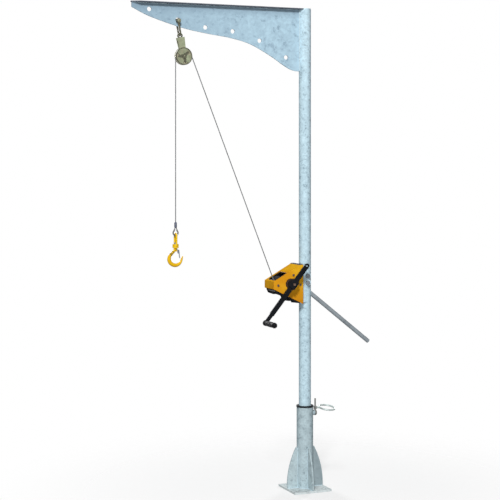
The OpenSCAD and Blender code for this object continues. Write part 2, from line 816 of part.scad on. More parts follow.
// The drum's rope: loops of a helix that start at the anchor and end where the rope
// leaves the drum, with a short straight stretch at each end
leave_a = 180 + lead_angle;
loop_rings = 24;
tube_sides = 6;
function winding_frame(turns) = let (a = leave_a + 360 * turns)
    [[winding_r * cos(a), winding_pitch * turns, winding_r * sin(a)], [cos(a), 0, sin(a)]];
function beside(frame, turns, s) = let (a = leave_a + 360 * turns)
    [frame[0] + s * [-sin(a), 0, cos(a)], frame[1]];
winding_path = concat(
    [beside(winding_frame(winding_loops), winding_loops, rope_d)],
    [for (i = [0 : winding_loops * loop_rings]) winding_frame(winding_loops - i / loop_rings)],
    [beside(winding_frame(0), 0, -rope_d)]);
winding_gap = min([for (i = [1 : len(winding_path) - 2 - loop_rings], k = [-2 : 2])
    norm(winding_path[i][0] - winding_path[min(i + loop_rings + k, len(winding_path) - 1)][0])])
    - rope_d;
echo(str("drum rope: least gap between loops ", winding_gap, " mm"));

module drum_rope() {
    points = [for (p = winding_path, j = [0 : tube_sides - 1])
        let (b = 360 * j / tube_sides) p[0] + rope_r * (cos(b) * p[1] + sin(b) * [0, 1, 0])];
    color("#9a9c9c") translate([-drum_reach, 0, drum_z])
        polyhedron(points, tube_faces(len(winding_path), tube_sides));
}

module rope_anchor() {
    block = [8, rope_d, 8];
    color(steel) difference() {
        translate([-drum_reach, winding_pitch * winding_loops - block[1] / 2, drum_z])
            rotate([0, -leave_a, 0]) translate([winding_r - block[0] / 2, 0, rope_d])
                cube(block);
        pin_y(drum_reach, drum_z, drum_d / 2, -drum_y, drum_y);
    }
}

module pawl() {
    along = (pawl_tip - pawl_pivot) / norm(pawl_tip - pawl_pivot);
    side = [-along[1], along[0]];
    away = [-cos(pawl_tip_a), sin(pawl_tip_a)];
    half = pawl_pin_d / 2 + 1;
    color(steel) difference() {
        union() {
            plate_y([pawl_pivot + half * side, pawl_tip + 3 * away, pawl_tip,
                     pawl_pivot - half * side], pawl_y, pawl_y + pawl_t);
            pin_y(pawl_pivot[0], pawl_pivot[1], pawl_pin_d / 2 + 3, pawl_y, pawl_y + pawl_t);
        }
        pin_y(pawl_pivot[0], pawl_pivot[1], pawl_pin_d / 2 + fit, pawl_y - 1, frame_y);
    }
}

module pawl_pin() {
    color(steel) pin_y(pawl_pivot[0], pawl_pivot[1], pawl_pin_d / 2, pawl_y - 1, frame_y);
}

module pawl_spring() {
    color(zinc) difference() {
        pin_y(pawl_pivot[0], pawl_pivot[1], pawl_pin_d / 2 + 2, pawl_y + pawl_t + gap, frame_in_y);
        pin_y(pawl_pivot[0], pawl_pivot[1], pawl_pin_d / 2, pawl_y, frame_y);
    }
}

module brake_disc() {
    color("#4a4038") difference() {
        pin_y(crank_reach, crank_z, hub_d / 2 + 2, -hub_y, -brake_y);
        pin_y(crank_reach, crank_z, crank_shaft_d / 2, -hub_y - 1, -brake_y + 1);
    }
}

// The crank arm's own frame: its -Z points from the shaft to the grip
module arm_frame() {
    translate([-crank_reach, 0, crank_z]) rotate([0, arm_angle, 0]) children();
}

module crank_hub() {
    face = hub_y + hub_len;
    front = arm_out_y + gap + hub_lip;
    slot = arm_w + 2 * gap;
    color("#1c1d1f") arm_frame() difference() {
        union() {
            pin_y(0, 0, hub_d / 2, -face, -hub_y);
            translate([-hub_box[0] / 2, -front, -hub_box[1] / 2])
                cube([hub_box[0], front - face, hub_box[1]]);
        }
        pin_y(0, 0, crank_shaft_d / 2, -face, -hub_y + 1);
        translate([-slot / 2, -arm_out_y - gap, -hub_box[1]])
            cube([slot, arm_out_y + gap - face, 2 * hub_box[1]]);
        pin_y(0, 0, arm_screw_d / 2, -front - 1, -arm_out_y);
    }
}

module arm_screw() {
    front = arm_out_y + gap + hub_lip;
    color(steel) arm_frame() {
        pin_y(0, 0, arm_screw_d / 2, -front, -arm_out_y - gap);
        pin_y(0, 0, arm_screw_d * 0.8, -front - 6, -front);
    }
}

module crank_arm() {
    end = arm_tail - arm_w / 2;
    color("#1c1d1f") arm_frame() difference() {
        union() {
            translate([-arm_w / 2, -arm_out_y, -arm_wide_len])
                cube([arm_w, arm_t, arm_wide_len + end]);
            pin_y(0, end, arm_w / 2, -arm_out_y, -arm_in_y);
            translate([-arm_end_w / 2, -arm_out_y, -arm_len])
                cube([arm_end_w, arm_t, arm_len - arm_wide_len]);
            pin_y(0, -arm_len, grip_d / 2, -arm_out_y, -arm_in_y);
        }
        pin_y(0, end, arm_w / 5, -arm_out_y - 1, -arm_in_y + 1);
        pin_y(0, -arm_len, spindle_d / 2, -arm_out_y - 1, -arm_in_y + 1);
    }
}

module grip_spindle() {
    color(steel) arm_frame()
        pin_y(0, -arm_len, spindle_d / 2, -grip_y - grip_bore, -arm_in_y);
}

module crank_grip() {
    color("#1c1d1f") arm_frame() difference() {
        union() {
            pin_y(0, -arm_len, grip_d / 2, -grip_y - grip_len + grip_d / 2, -grip_y);
            translate([0, -grip_y - grip_len + grip_d / 2, -arm_len]) sphere(d = grip_d);
        }
        pin_y(0, -arm_len, spindle_d / 2 + fit, -grip_y - grip_bore - gap, -grip_y + 1);
    }
}

// The block's own frame: its origin is the shackle's pin and -Z points to the sheave
module block_frame() {
    translate([-pin_u, 0, pin_z]) rotate([0, -block_tilt, 0]) children();
}

module shackle_bow() {
    arch = shackle_w / 2;
    rod = shackle_d / 2;
    color(olive) block_frame() difference() {
        union() {
            for (y = [-arch, arch]) {
                pin_y(0, 0, shackle_ear_d / 2, y - shackle_ear / 2, y + shackle_ear / 2);
                translate([0, y, arch - shackle_len]) cylinder(r = rod, h = shackle_len - arch);
            }
            translate([0, 0, arch - shackle_len]) rotate([0, 90, 0]) rotate([0, 0, -90])
                rotate_extrude(angle = 180) translate([arch, 0]) circle(r = rod);
        }
        pin_y(0, 0, shackle_pin_d / 2, -shackle_w, shackle_w);
    }
}

module shackle_pin() {
    outer = (shackle_w + shackle_ear) / 2;
    nut = [7, 19];
    color(olive) block_frame() {
        pin_y(0, 0, shackle_pin_d / 2, -outer, outer + nut[0] + 2);
        pin_y(0, 0, nut[1] / 2, -outer - nut[0], -outer);
        difference() {
            hex_y(0, 0, nut[1], outer, outer + nut[0]);
            pin_y(0, 0, shackle_pin_d / 2 - seat, outer - 1, outer + nut[0] + 1);
        }
    }
}

module block_eye() {
    button = [4, cheek_y - gap];
    low = head_top - head_h;
    color(olive) block_frame() difference() {
        union() {
            pin_y(0, eye_z, eye_r, -eye_t / 2, eye_t / 2);
            translate([0, 0, low]) cylinder(r = eye_shank_r, h = eye_z - eye_hole_r - low - 1);
            translate([0, 0, low - button[0]]) cylinder(r = button[1], h = button[0]);
        }
        pin_y(0, eye_z, eye_hole_r, -eye_t, eye_t);
        translate([-head_w, 0, head_top - head_h / 2]) rotate([0, 90, 0])
            cylinder(r = cross_pin_r, h = 2 * head_w);
    }
}

module block_head() {
    color(olive) block_frame() difference() {
        translate([-head_w / 2, -cheek_y, head_top - head_h]) cube([head_w, 2 * cheek_y, head_h]);
        translate([0, 0, head_top - head_h - 1]) cylinder(r = eye_shank_r, h = head_h + 2);
        translate([-head_w, 0, head_top - head_h / 2]) rotate([0, 90, 0])
            cylinder(r = cross_pin_r, h = 2 * head_w);
    }
    color(steel) block_frame() translate([-strap_w / 2 - 2, 0, head_top - head_h / 2])
        rotate([0, 90, 0]) cylinder(r = cross_pin_r - seat / 2, h = strap_w + 4);
}

// Cheek: a strap that widens to the top and a disc with three windows round the axle
module block_cheeks() {
    top = head_top + 5;
    ring = 5;
    window_in = axle_d / 2 + 11;
    strap = [[-strap_w / 2, top], [strap_w / 2, top],
             [strap_w / 3, -block_len], [-strap_w / 3, -block_len]];
    color(olive) block_frame() for (y = [-cheek_y - cheek_t, cheek_y])
        difference() {
            union() {
                plate_y(strap, y, y + cheek_t);
                pin_y(0, -block_len, sheave_rim, y, y + cheek_t);
            }
            for (a = [15, 165, 270]) let (far = sheave_rim - ring)
                plate_y([for (p = [[window_in, a], [far, a - 22], [far, a], [far, a + 22]])
                         [p[0] * cos(p[1]), -block_len + p[0] * sin(p[1])]],
                        y - 1, y + cheek_t + 1);
            pin_y(0, -block_len, axle_d / 2, y - 1, y + cheek_t + 1);
        }
}

module sheave_axle() {
    outer = cheek_y + cheek_t;
    nut = [8, 19];
    color(steel) block_frame() {
        pin_y(0, -block_len, axle_d / 2, -outer, outer + nut[0] + 2);
        hex_y(0, -block_len, nut[1], -outer - nut[0] + 2, -outer);
        difference() {
            hex_y(0, -block_len, nut[1], outer, outer + nut[0]);
            pin_y(0, -block_len, axle_d / 2 - seat, outer - 1, outer + nut[0] + 1);
        }
    }
}

// A body of revolution about the sheave's axis, from a profile of [radius, y]
module on_sheave() {
    translate([-sheave_reach, 0, sheave_z]) rotate([90, 0, 0]) children();
}

module sheave() {
    groove = rope_r + 2 * seat;
    half = sheave_w / 2;
    bush = axle_d / 2 + bush_wall;
    color(steel) on_sheave() rotate_extrude() difference() {
        translate([bush, -half]) square([sheave_rim - bush, sheave_w]);
        translate([sheave_r, 0]) circle(r = groove);
        polygon([[sheave_r, groove], [sheave_rim + 1, groove + 1.2],
                 [sheave_rim + 1, -groove - 1.2], [sheave_r, -groove]]);
        for (y = [-half - 3, half - 2])
            translate([bush + 5, y]) square([sheave_r - bush - 15, 5]);
    }
}

module sheave_bush() {
    color("#b08a45") on_sheave() difference() {
        translate([0, 0, -sheave_w / 2]) cylinder(r = axle_d / 2 + bush_wall, h = sheave_w);
        translate([0, 0, -sheave_w]) cylinder(r = axle_d / 2 + fit, h = 2 * sheave_w);
    }
}

// The rope from the drum to the sheave and over it, tight between the two
module rope_lead() {
    run = sqrt(pow(centres_len, 2) - pow(winding_r + sheave_r, 2));
    color("#9a9c9c") {
        on_sheave() rotate([0, 0, lead_angle]) rotate_extrude(angle = 180 - lead_angle)
            translate([sheave_r, 0]) circle(r = rope_r);
        translate([-drum_reach, 0, drum_z]) rotate([0, -lead_angle, 0])
            translate([-winding_r, 0, lead_start]) cylinder(r = rope_r, h = run - lead_start);
    }
}

module rope_fall() {
    color("#9a9c9c") translate([-hook_u, 0, ferrule_top])
        cylinder(r = rope_r, h = sheave_z - ferrule_top);
}

module ferrule() {
    color("#5c6270") translate([-hook_u, 0, loop_top]) rotate_extrude()
        polygon([[0, 0], [ferrule_d / 2 - 1.5, 0], [ferrule_d / 2, 2],
                 [ferrule_d / 2, ferrule_len - 4], [ferrule_d / 2 - 2, ferrule_len],
                 [0, ferrule_len]]);
}

// The rope's loop: an arc round the thimble and two straight legs that meet the ferrule
loop_leg_x = rope_r + seat / 2;
loop_reach = norm([loop_leg_x, loop_drop]);
loop_a = atan2(loop_drop, loop_leg_x) - acos(thimble_r / loop_reach);
loop_leg = sqrt(loop_reach * loop_reach - thimble_r * thimble_r);

module loop_frame() {
    translate([-hook_u, 0, loop_z]) rotate([90, 0, 0]) children();
}

module loop_leg_tube(r) {
    rotate([0, 0, loop_a]) translate([thimble_r, 0, 0]) rotate([-90, 0, 0])
        cylinder(r = r, h = loop_leg);
}

module loop_tube(r) {
    for (side = [0, 1]) mirror([side, 0, 0]) loop_leg_tube(r);
    rotate([0, 0, 180 - loop_a]) rotate_extrude(angle = 180 + 2 * loop_a)
        translate([thimble_r, 0]) circle(r = r);
}

module rope_loop() {
    color("#9a9c9c") loop_frame() intersection() {
        loop_tube(rope_r);
        translate([-50, -50, -10]) cube([100, 50 + loop_drop, 20]);
    }
}

// Thimble: a grooved ring round the bail, with a grooved strip along each leg
module thimble() {
    rim = thimble_r + rope_r * 0.2;
    strip_len = 0.62 * loop_leg;
    color("#7d838a") loop_frame() {
        rotate([0, 0, 180 - loop_a]) rotate_extrude(angle = 180 + 2 * loop_a) difference() {
            translate([thimble_in_r, -thimble_w / 2]) square([rim - thimble_in_r, thimble_w]);
            translate([thimble_r, 0]) circle(r = rope_r + seat / 2);
        }
        for (side = [0, 1]) mirror([side, 0, 0]) rotate([0, 0, loop_a]) difference() {
            translate([thimble_in_r, 0, -thimble_w / 2])
                cube([rim - thimble_in_r, strip_len, thimble_w]);
            translate([thimble_r, -1, 0]) rotate([-90, 0, 0])
                cylinder(r = rope_r + seat / 2, h = strip_len + 2);
        }
    }
}

module hook_bail() {
    rod = bail_rod / 2;
    half = bail_w / 2;
    color(yellow) translate([-hook_u, 0, 0]) difference() {
        union() {
            translate([0, 0, boss_low]) cylinder(d = boss_d, h = boss_h);
            for (y = [-half, half])
                translate([0, y, boss_low + boss_h / 2])
                    cylinder(r = rod, h = bail_arch_z - boss_low - boss_h / 2);
            translate([0, 0, bail_arch_z]) rotate([0, 90, 0]) rotate([0, 0, 90])
                rotate_extrude(angle = 180) translate([half, 0]) circle(r = rod);
        }
        translate([0, 0, boss_low - 1]) cylinder(d = shank_d + 2 * fit, h = boss_h + 2);
        translate([0, 0, boss_low - bail_leg]) cylinder(d = boss_d + bail_rod, h = bail_leg);
    }
}

// A place at an angle and a distance from the middle of the hook's throat
function hook_place(a, r) = [-hook_u + r * cos(a), throat_z + r * sin(a)];

module hook_body() {
    stations = smooth(hook_stations, 3);
    last = len(stations) - 1;
    sides = 12;
    centre = [for (p = stations) hook_place(p[0], hook_r + p[1])];
    points = [for (i = [0 : last], j = [0 : sides - 1])
        let (a = centre[max(i - 1, 0)], b = centre[min(i + 1, last)],
             t = (b - a) / norm(b - a), w = stations[i][2], b_angle = 360 * j / sides,
             out = w * cos(b_angle))
        [centre[i][0] - out * t[1], min(w, 7) * sin(b_angle), centre[i][1] + out * t[0]]];
    polyhedron(points, tube_faces(last + 1, sides));
}

module hook() {
    collar = [9, 7.5];
    top = boss_low - gap;
    nut = [7.5, 8];
    lug = latch_pin_d / 2 + 3;
    lug_t = 3;
    color(yellow) difference() {
        union() {
            difference() {
                hook_body();
                translate([-hook_u - boss_d, -boss_d, top]) cube(2 * boss_d);
            }
            translate([-hook_u, 0, top - collar[1]])
                cylinder(r = collar[0], h = collar[1]);
            translate([-hook_u, -lug_t, latch_z]) cube([latch_u, 2 * lug_t, lug]);
            pin_y(hook_u - latch_u, latch_z, lug, -lug_t, lug_t);
        }
        pin_y(hook_u - latch_u, latch_z, latch_pin_d / 2, -boss_d, boss_d);
    }
    color(steel) {
        translate([-hook_u, 0, top]) cylinder(d = shank_d, h = boss_h + 2 * gap);
        translate([-hook_u, 0, boss_top + gap]) cylinder(r = nut[0], h = nut[1]);
    }
}

module latch_frame() {
    translate([-hook_u + latch_u, 0, latch_z]) rotate([0, -latch_lean, 0]) children();
}

module hook_latch() {
    ear_in = 3 + gap;
    sheet = 1.6;
    ear = latch_pin_d / 2 + 3.5;
    color("#7d838a") latch_frame() difference() {
        union() {
            for (y = [-ear_in - sheet, ear_in]) {
                pin_y(0, 0, ear, y, y + sheet);
                translate([-sheet, y, -14]) cube([ear + sheet, sheet, 14]);
            }
            translate([ear - sheet, -ear_in - sheet, -latch_len])
                cube([sheet, 2 * (ear_in + sheet), latch_len - ear]);
        }
        pin_y(0, 0, latch_pin_d / 2 + fit, -boss_d, boss_d);
    }
}

module latch_pin() {
    reach = 6.5;
    color(steel) pin_y(hook_u - latch_u, latch_z, latch_pin_d / 2, -reach, reach);
}

base_plate();
base_fins();
socket_tube();
lower_bush();
thrust_disc();
upper_bush();
lock_boss();
lock_screw();
lock_bar();
lock_ring();
column_tube();
column_cap();
jib_web();
jib_flange();
slewing_handle();
winch_bracket();
bracket_bolts();
winch_back();
winch_side_near();
winch_side_far();
winch_ties();
mounting_screws();
winch_cover();
cover_screws();
shaft_bushes();
crank_housing();
drum();
drum_shaft();
drum_gear();
ratchet_wheel();
drum_rope();
rope_anchor();
pawl();
pawl_pin();
pawl_spring();
crank_shaft();
brake_disc();
crank_hub();
arm_screw();
crank_arm();
grip_spindle();
crank_grip();
shackle_bow();
shackle_pin();
block_eye();
block_head();
block_cheeks();
sheave_axle();
sheave();
sheave_bush();
rope_lead();
rope_fall();
ferrule();
rope_loop();
thimble();
hook_bail();
hook();
hook_latch();
latch_pin();
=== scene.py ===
"""Looks of the davit crane: camera, rope, weld beads, details, materials, floor and light."""
import math

import bmesh
import bpy
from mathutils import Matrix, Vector


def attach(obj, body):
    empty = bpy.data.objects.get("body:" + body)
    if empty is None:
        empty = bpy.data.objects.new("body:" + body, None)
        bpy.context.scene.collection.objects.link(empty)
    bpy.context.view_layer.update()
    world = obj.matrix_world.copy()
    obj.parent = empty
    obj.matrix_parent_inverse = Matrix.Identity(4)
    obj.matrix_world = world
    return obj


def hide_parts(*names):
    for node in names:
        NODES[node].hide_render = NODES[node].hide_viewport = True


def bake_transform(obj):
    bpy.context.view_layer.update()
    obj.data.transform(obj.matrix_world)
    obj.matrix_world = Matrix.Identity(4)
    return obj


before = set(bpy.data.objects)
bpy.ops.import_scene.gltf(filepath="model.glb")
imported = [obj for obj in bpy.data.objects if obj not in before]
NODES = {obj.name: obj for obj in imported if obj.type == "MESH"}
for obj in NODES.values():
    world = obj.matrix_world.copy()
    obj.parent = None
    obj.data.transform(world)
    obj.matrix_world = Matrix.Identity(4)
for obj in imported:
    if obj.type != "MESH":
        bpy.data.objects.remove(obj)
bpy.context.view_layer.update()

# Places and sizes repeated from the part's source, in millimetres. X is negative towards the
# jib's tip, and Z is 0 under the base plate.
PLATE_TOP = 10
SOCKET_R = 41.25
FIN_HALF = 4
FIN_TOP = 210
LOCK_Z = 378
LOCK_BOSS_R = 13
COLUMN_R = 30.15
HANDLE_R = 10.65
HANDLE_Z = 1002
HANDLE_DROP = math.radians(38.4)
WEB_HALF = 3
DRUM = (-138, 0, 1026)
SHEAVE = (-646, 0, 2144)
CRANK = (-104.218, 0, 1033)
ARM_LENGTH = 236
ARM_ANGLE = math.radians(39.3)
BOLTS_Z = (1032, 1066)
BOLT_R = 6
COVER_RIDGE = (50, 1126)
COVER_NOSE = (195, 1046)
COVER_SLOT_REACH = (122, 185)
COVER_SLOT_Y = (-48, 32)
COVER_SCREWS = ((171, 1027), (89, 1075), (51, 1027))
CHEEK_FACE = 10
SHEAVE_R = 40
ROPE_R = 2.5
WINDING_R = 22.3
WINDING_PITCH = 5.5
WINDING_LOOPS = 5
FERRULE_TOP = 1346
LOOP_Z = 1294
LOOP_DROP = 24
THIMBLE_R = 13.5
HOOK_X = -686
HOOK_R = 32
THROAT_Z = 1171.1
BOSS_LOW = 1222.1


def place(x, y, z):
    """A point in metres from millimetres."""
    return Vector((x, y, z)) / 1000


def make_camera():
    """The photograph's view: level, 22.9 degrees left of the front, with a shifted lens."""
    data = bpy.data.cameras.new("camera")
    data.sensor_width = 36
    data.lens = 96.6
    data.shift_y = -0.1824
    camera = bpy.data.objects.new("camera", data)
    camera.location = (-2.865, -6.077, 1.650)
    camera.rotation_euler = (math.radians(90), 0, math.radians(-22.9))
    bpy.context.scene.collection.objects.link(camera)
    bpy.context.scene.camera = camera


def add_mesh(name, verts, faces):
    mesh = bpy.data.meshes.new(name)
    mesh.from_pydata([tuple(v) for v in verts], [], faces)
    mesh.validate()
    clean = bmesh.new()
    clean.from_mesh(mesh)
    bmesh.ops.recalc_face_normals(clean, faces=clean.faces)
    clean.to_mesh(mesh)
    clean.free()
    for polygon in mesh.polygons:
        polygon.use_smooth = True
    piece = bpy.data.objects.new(name, mesh)
    bpy.context.scene.collection.objects.link(piece)
    return piece


def skin(rings, sides, closed=False):
    """Quads between each ring of points and the next one."""
    faces = []
    for i in range(rings if closed else rings - 1):
        m = (i + 1) % rings
        for j in range(sides):
            k = (j + 1) % sides
            faces.append((i * sides + j, i * sides + k, m * sides + k, m * sides + j))
    return faces


def dress(piece, material, body, slot, *replaced):
    """Gives a piece its material and body, and hides the CAD nodes it stands for; the slot is not
    used.
    """
    piece.data.materials.clear()
    piece.data.materials.append(material)
    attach(piece, body)
    if replaced:
        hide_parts(*replaced)
    return piece


def sharp_edges(piece, angle=35):
    """Keeps edges that turn by more than the angle crisp on a smooth-shaded piece."""
    mesh = piece.data
    work = bmesh.new()
    work.from_mesh(mesh)
    limit = math.radians(angle)
    for edge in work.edges:
        edge.smooth = len(edge.link_faces) == 2 and edge.calc_face_angle(0) < limit
    work.to_mesh(mesh)
    work.free()
    return piece


def resample(points, step):
    """Points at even steps along a line of points."""
    lengths = [0]
    for a, b in zip(points, points[1:]):
        lengths.append(lengths[-1] + (b - a).length)
    count = max(2, round(lengths[-1] / step) + 1)
    out = []
    k = 0
    for i in range(count):
        s = lengths[-1] * i / (count - 1)
        while k < len(points) - 2 and lengths[k + 1] < s:
            k += 1
        t = (s - lengths[k]) / max(1e-9, lengths[k + 1] - lengths[k])
        out.append(points[k].lerp(points[k + 1], min(1, max(0, t))))
    return out


def frames_along(points, closed=False):
    """A pair of unit vectors across the path at each point, carried along without twist."""
    last = len(points) - 1
    normal = None
    out = []
    for i, p in enumerate(points):
        before = points[i - 1] if i or closed else p
        after = points[(i + 1) % len(points)] if i < last or closed else p
        tangent = (after - before).normalized()
        if normal is None:
            helper = Vector((0, 1, 0)) if abs(tangent.y) < 0.9 else Vector((1, 0, 0))
            normal = helper.cross(tangent).normalized()
        normal = (normal - tangent * normal.dot(tangent)).normalized()
        out.append((normal.copy(), tangent.cross(normal)))
    return out


def sweep(name, points, radius_at, sides, closed=False):
    """A tube round a path; radius_at(length along it, angle round it) gives its radius."""
    axes = frames_along(points, closed)
    verts = []
    along = 0
    for i, p in enumerate(points):
        if i:
            along += (p - points[i - 1]).length
        n, b = axes[i]
        for j in range(sides):
            a = 2 * math.pi * j / sides
            r = radius_at(along, a)
            verts.append(p + r * (math.cos(a) * n + math.sin(a) * b))
    count = len(points)
    faces = skin(count, sides, closed)
    if not closed:
        faces.append(tuple(range(sides))[::-1])
        faces.append(tuple(range((count - 1) * sides, count * sides)))
    return add_mesh(name, verts, faces)


def lathe(name, profile, centre, axis, segments=40, wave=None):
    """A turned piece: profile is a list of (radius, distance along the axis) in millimetres.

    A profile that starts away from the axis is closed by flat ends, unless it ends where it starts.
    """
    axis = Vector(axis).normalized()
    helper = Vector((0, 0, 1)) if abs(axis.z) < 0.9 else Vector((1, 0, 0))
    n = helper.cross(axis).normalized()
    b = axis.cross(n)
    centre = Vector(centre)
    verts = []
    for r, h in profile:
        for j in range(segments):
            a = 2 * math.pi * j / segments
            k = wave(r, h, a) if wave else r
            verts.append((centre + axis * h + k * (math.cos(a) * n + math.sin(a) * b)) / 1000)
    faces = skin(len(profile), segments)
    if profile[0][0] > 0 and profile[0] != profile[-1]:
        faces.append(tuple(range(segments))[::-1])
        faces.append(tuple(range((len(profile) - 1) * segments, len(profile) * segments)))
    return sharp_edges(add_mesh(name, verts, faces))


def laid_rope(name, points, radius):
    """A rope of six strands laid round each other along the path, all in metres."""
    pitch = 0.026
    step = 0.0022
    groove = 0.14

    def strand(along, a):
        lay = abs(math.cos(3 * (a - 2 * math.pi * along / pitch)))
        return radius * (1 - groove + groove * lay)
    return sweep(name, resample(points, step), strand, 24)


def join(name, pieces):
    """One piece from several meshes."""
    verts = []
    faces = []
    for piece in pieces:
        start = len(verts)
        verts += [v.co.copy() for v in piece.data.vertices]
        faces += [tuple(start + i for i in p.vertices) for p in piece.data.polygons]
        bpy.data.objects.remove(piece)
    return add_mesh(name, verts, faces)


def arc(centre, radius, start, end, count):
    """Points of an arc in the XZ plane, angles in degrees from +X towards +Z."""
    out = []
    for i in range(count + 1):
        a = math.radians(start + (end - start) * i / count)
        out.append(place(centre[0] + radius * math.cos(a), centre[1],
                         centre[2] + radius * math.sin(a)))
    return out


# Rope: it leaves the drum, passes over the sheave and hangs down to the ferrule
RUN_X = DRUM[0] - SHEAVE[0]
RUN_Z = SHEAVE[2] - DRUM[2]
CENTRES = math.hypot(RUN_X, RUN_Z)
LEAD = math.atan2(RUN_X, RUN_Z) - math.asin((WINDING_R + SHEAVE_R) / CENTRES)
RUN = math.sqrt(CENTRES ** 2 - (WINDING_R + SHEAVE_R) ** 2)


def lead_place(along):
    """A point of the straight run, that many millimetres from where it leaves the drum."""
    return place(DRUM[0] - WINDING_R * math.cos(LEAD) - along * math.sin(LEAD), 0,
                 DRUM[2] - WINDING_R * math.sin(LEAD) + along * math.cos(LEAD))


def make_ropes(strands):
    """The rope's lead, fall, winding and end loop. The lead starts just clear of the winding."""
    lead_start = 17
    steps = 24
    line = [lead_place(lead_start + (RUN - lead_start) * i / steps) for i in range(steps + 1)]
    over = arc(SHEAVE, SHEAVE_R, math.degrees(LEAD), 180, steps)
    lead_path = line + over[1:]
    lead = laid_rope("rope_lead_lay", lead_path, ROPE_R / 1000)
    dress(lead, strands, "column", "wire_rope", "rope_lead")

    top = over[-1]
    low = place(HOOK_X, 0, FERRULE_TOP)
    fall_steps = 30
    fall_path = [top.lerp(low, i / fall_steps) for i in range(fall_steps + 1)]
    fall = laid_rope("rope_fall_lay", fall_path, ROPE_R / 1000)
    fall.data.materials.append(strands)
    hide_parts("rope_fall")

    turns = []
    per_turn = 48
    leave = math.pi + LEAD
    for i in range(WINDING_LOOPS * per_turn + 1):
        t = WINDING_LOOPS - i / per_turn
        a = leave + 2 * math.pi * t
        turns.append(place(DRUM[0] + WINDING_R * math.cos(a), WINDING_PITCH * t,
                           DRUM[2] + WINDING_R * math.sin(a)))
    end_length = 5
    last = leave + 2 * math.pi * WINDING_LOOPS
    tail = place(-end_length * math.sin(last), 0, end_length * math.cos(last))
    turns = [turns[0] + tail] + turns + [lead_place(end_length)]
    wound_r = 0.00245
    winding = laid_rope("rope_winding_lay", turns, wound_r)
    dress(winding, strands, "drum", "wire_rope", "drum_rope")

    leg_gap = 0.05
    leg_overlap = 0.4
    leg_x = ROPE_R + leg_gap
    leg_z = LOOP_Z + LOOP_DROP + leg_overlap
    reach = math.hypot(leg_x, LOOP_DROP)
    low_a = math.degrees(math.atan2(LOOP_DROP, leg_x) - math.acos(THIMBLE_R / reach))
    ring = arc((HOOK_X, 0, LOOP_Z), THIMBLE_R, 180 - low_a, 360 + low_a, 30)
    left = place(HOOK_X - leg_x, 0, leg_z)
    right = place(HOOK_X + leg_x, 0, leg_z)
    loop = laid_rope("rope_loop_lay", [left] + ring + [right], ROPE_R / 1000)
    dress(loop, strands, "hook_block", "wire_rope", "rope_loop")
    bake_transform(fall)


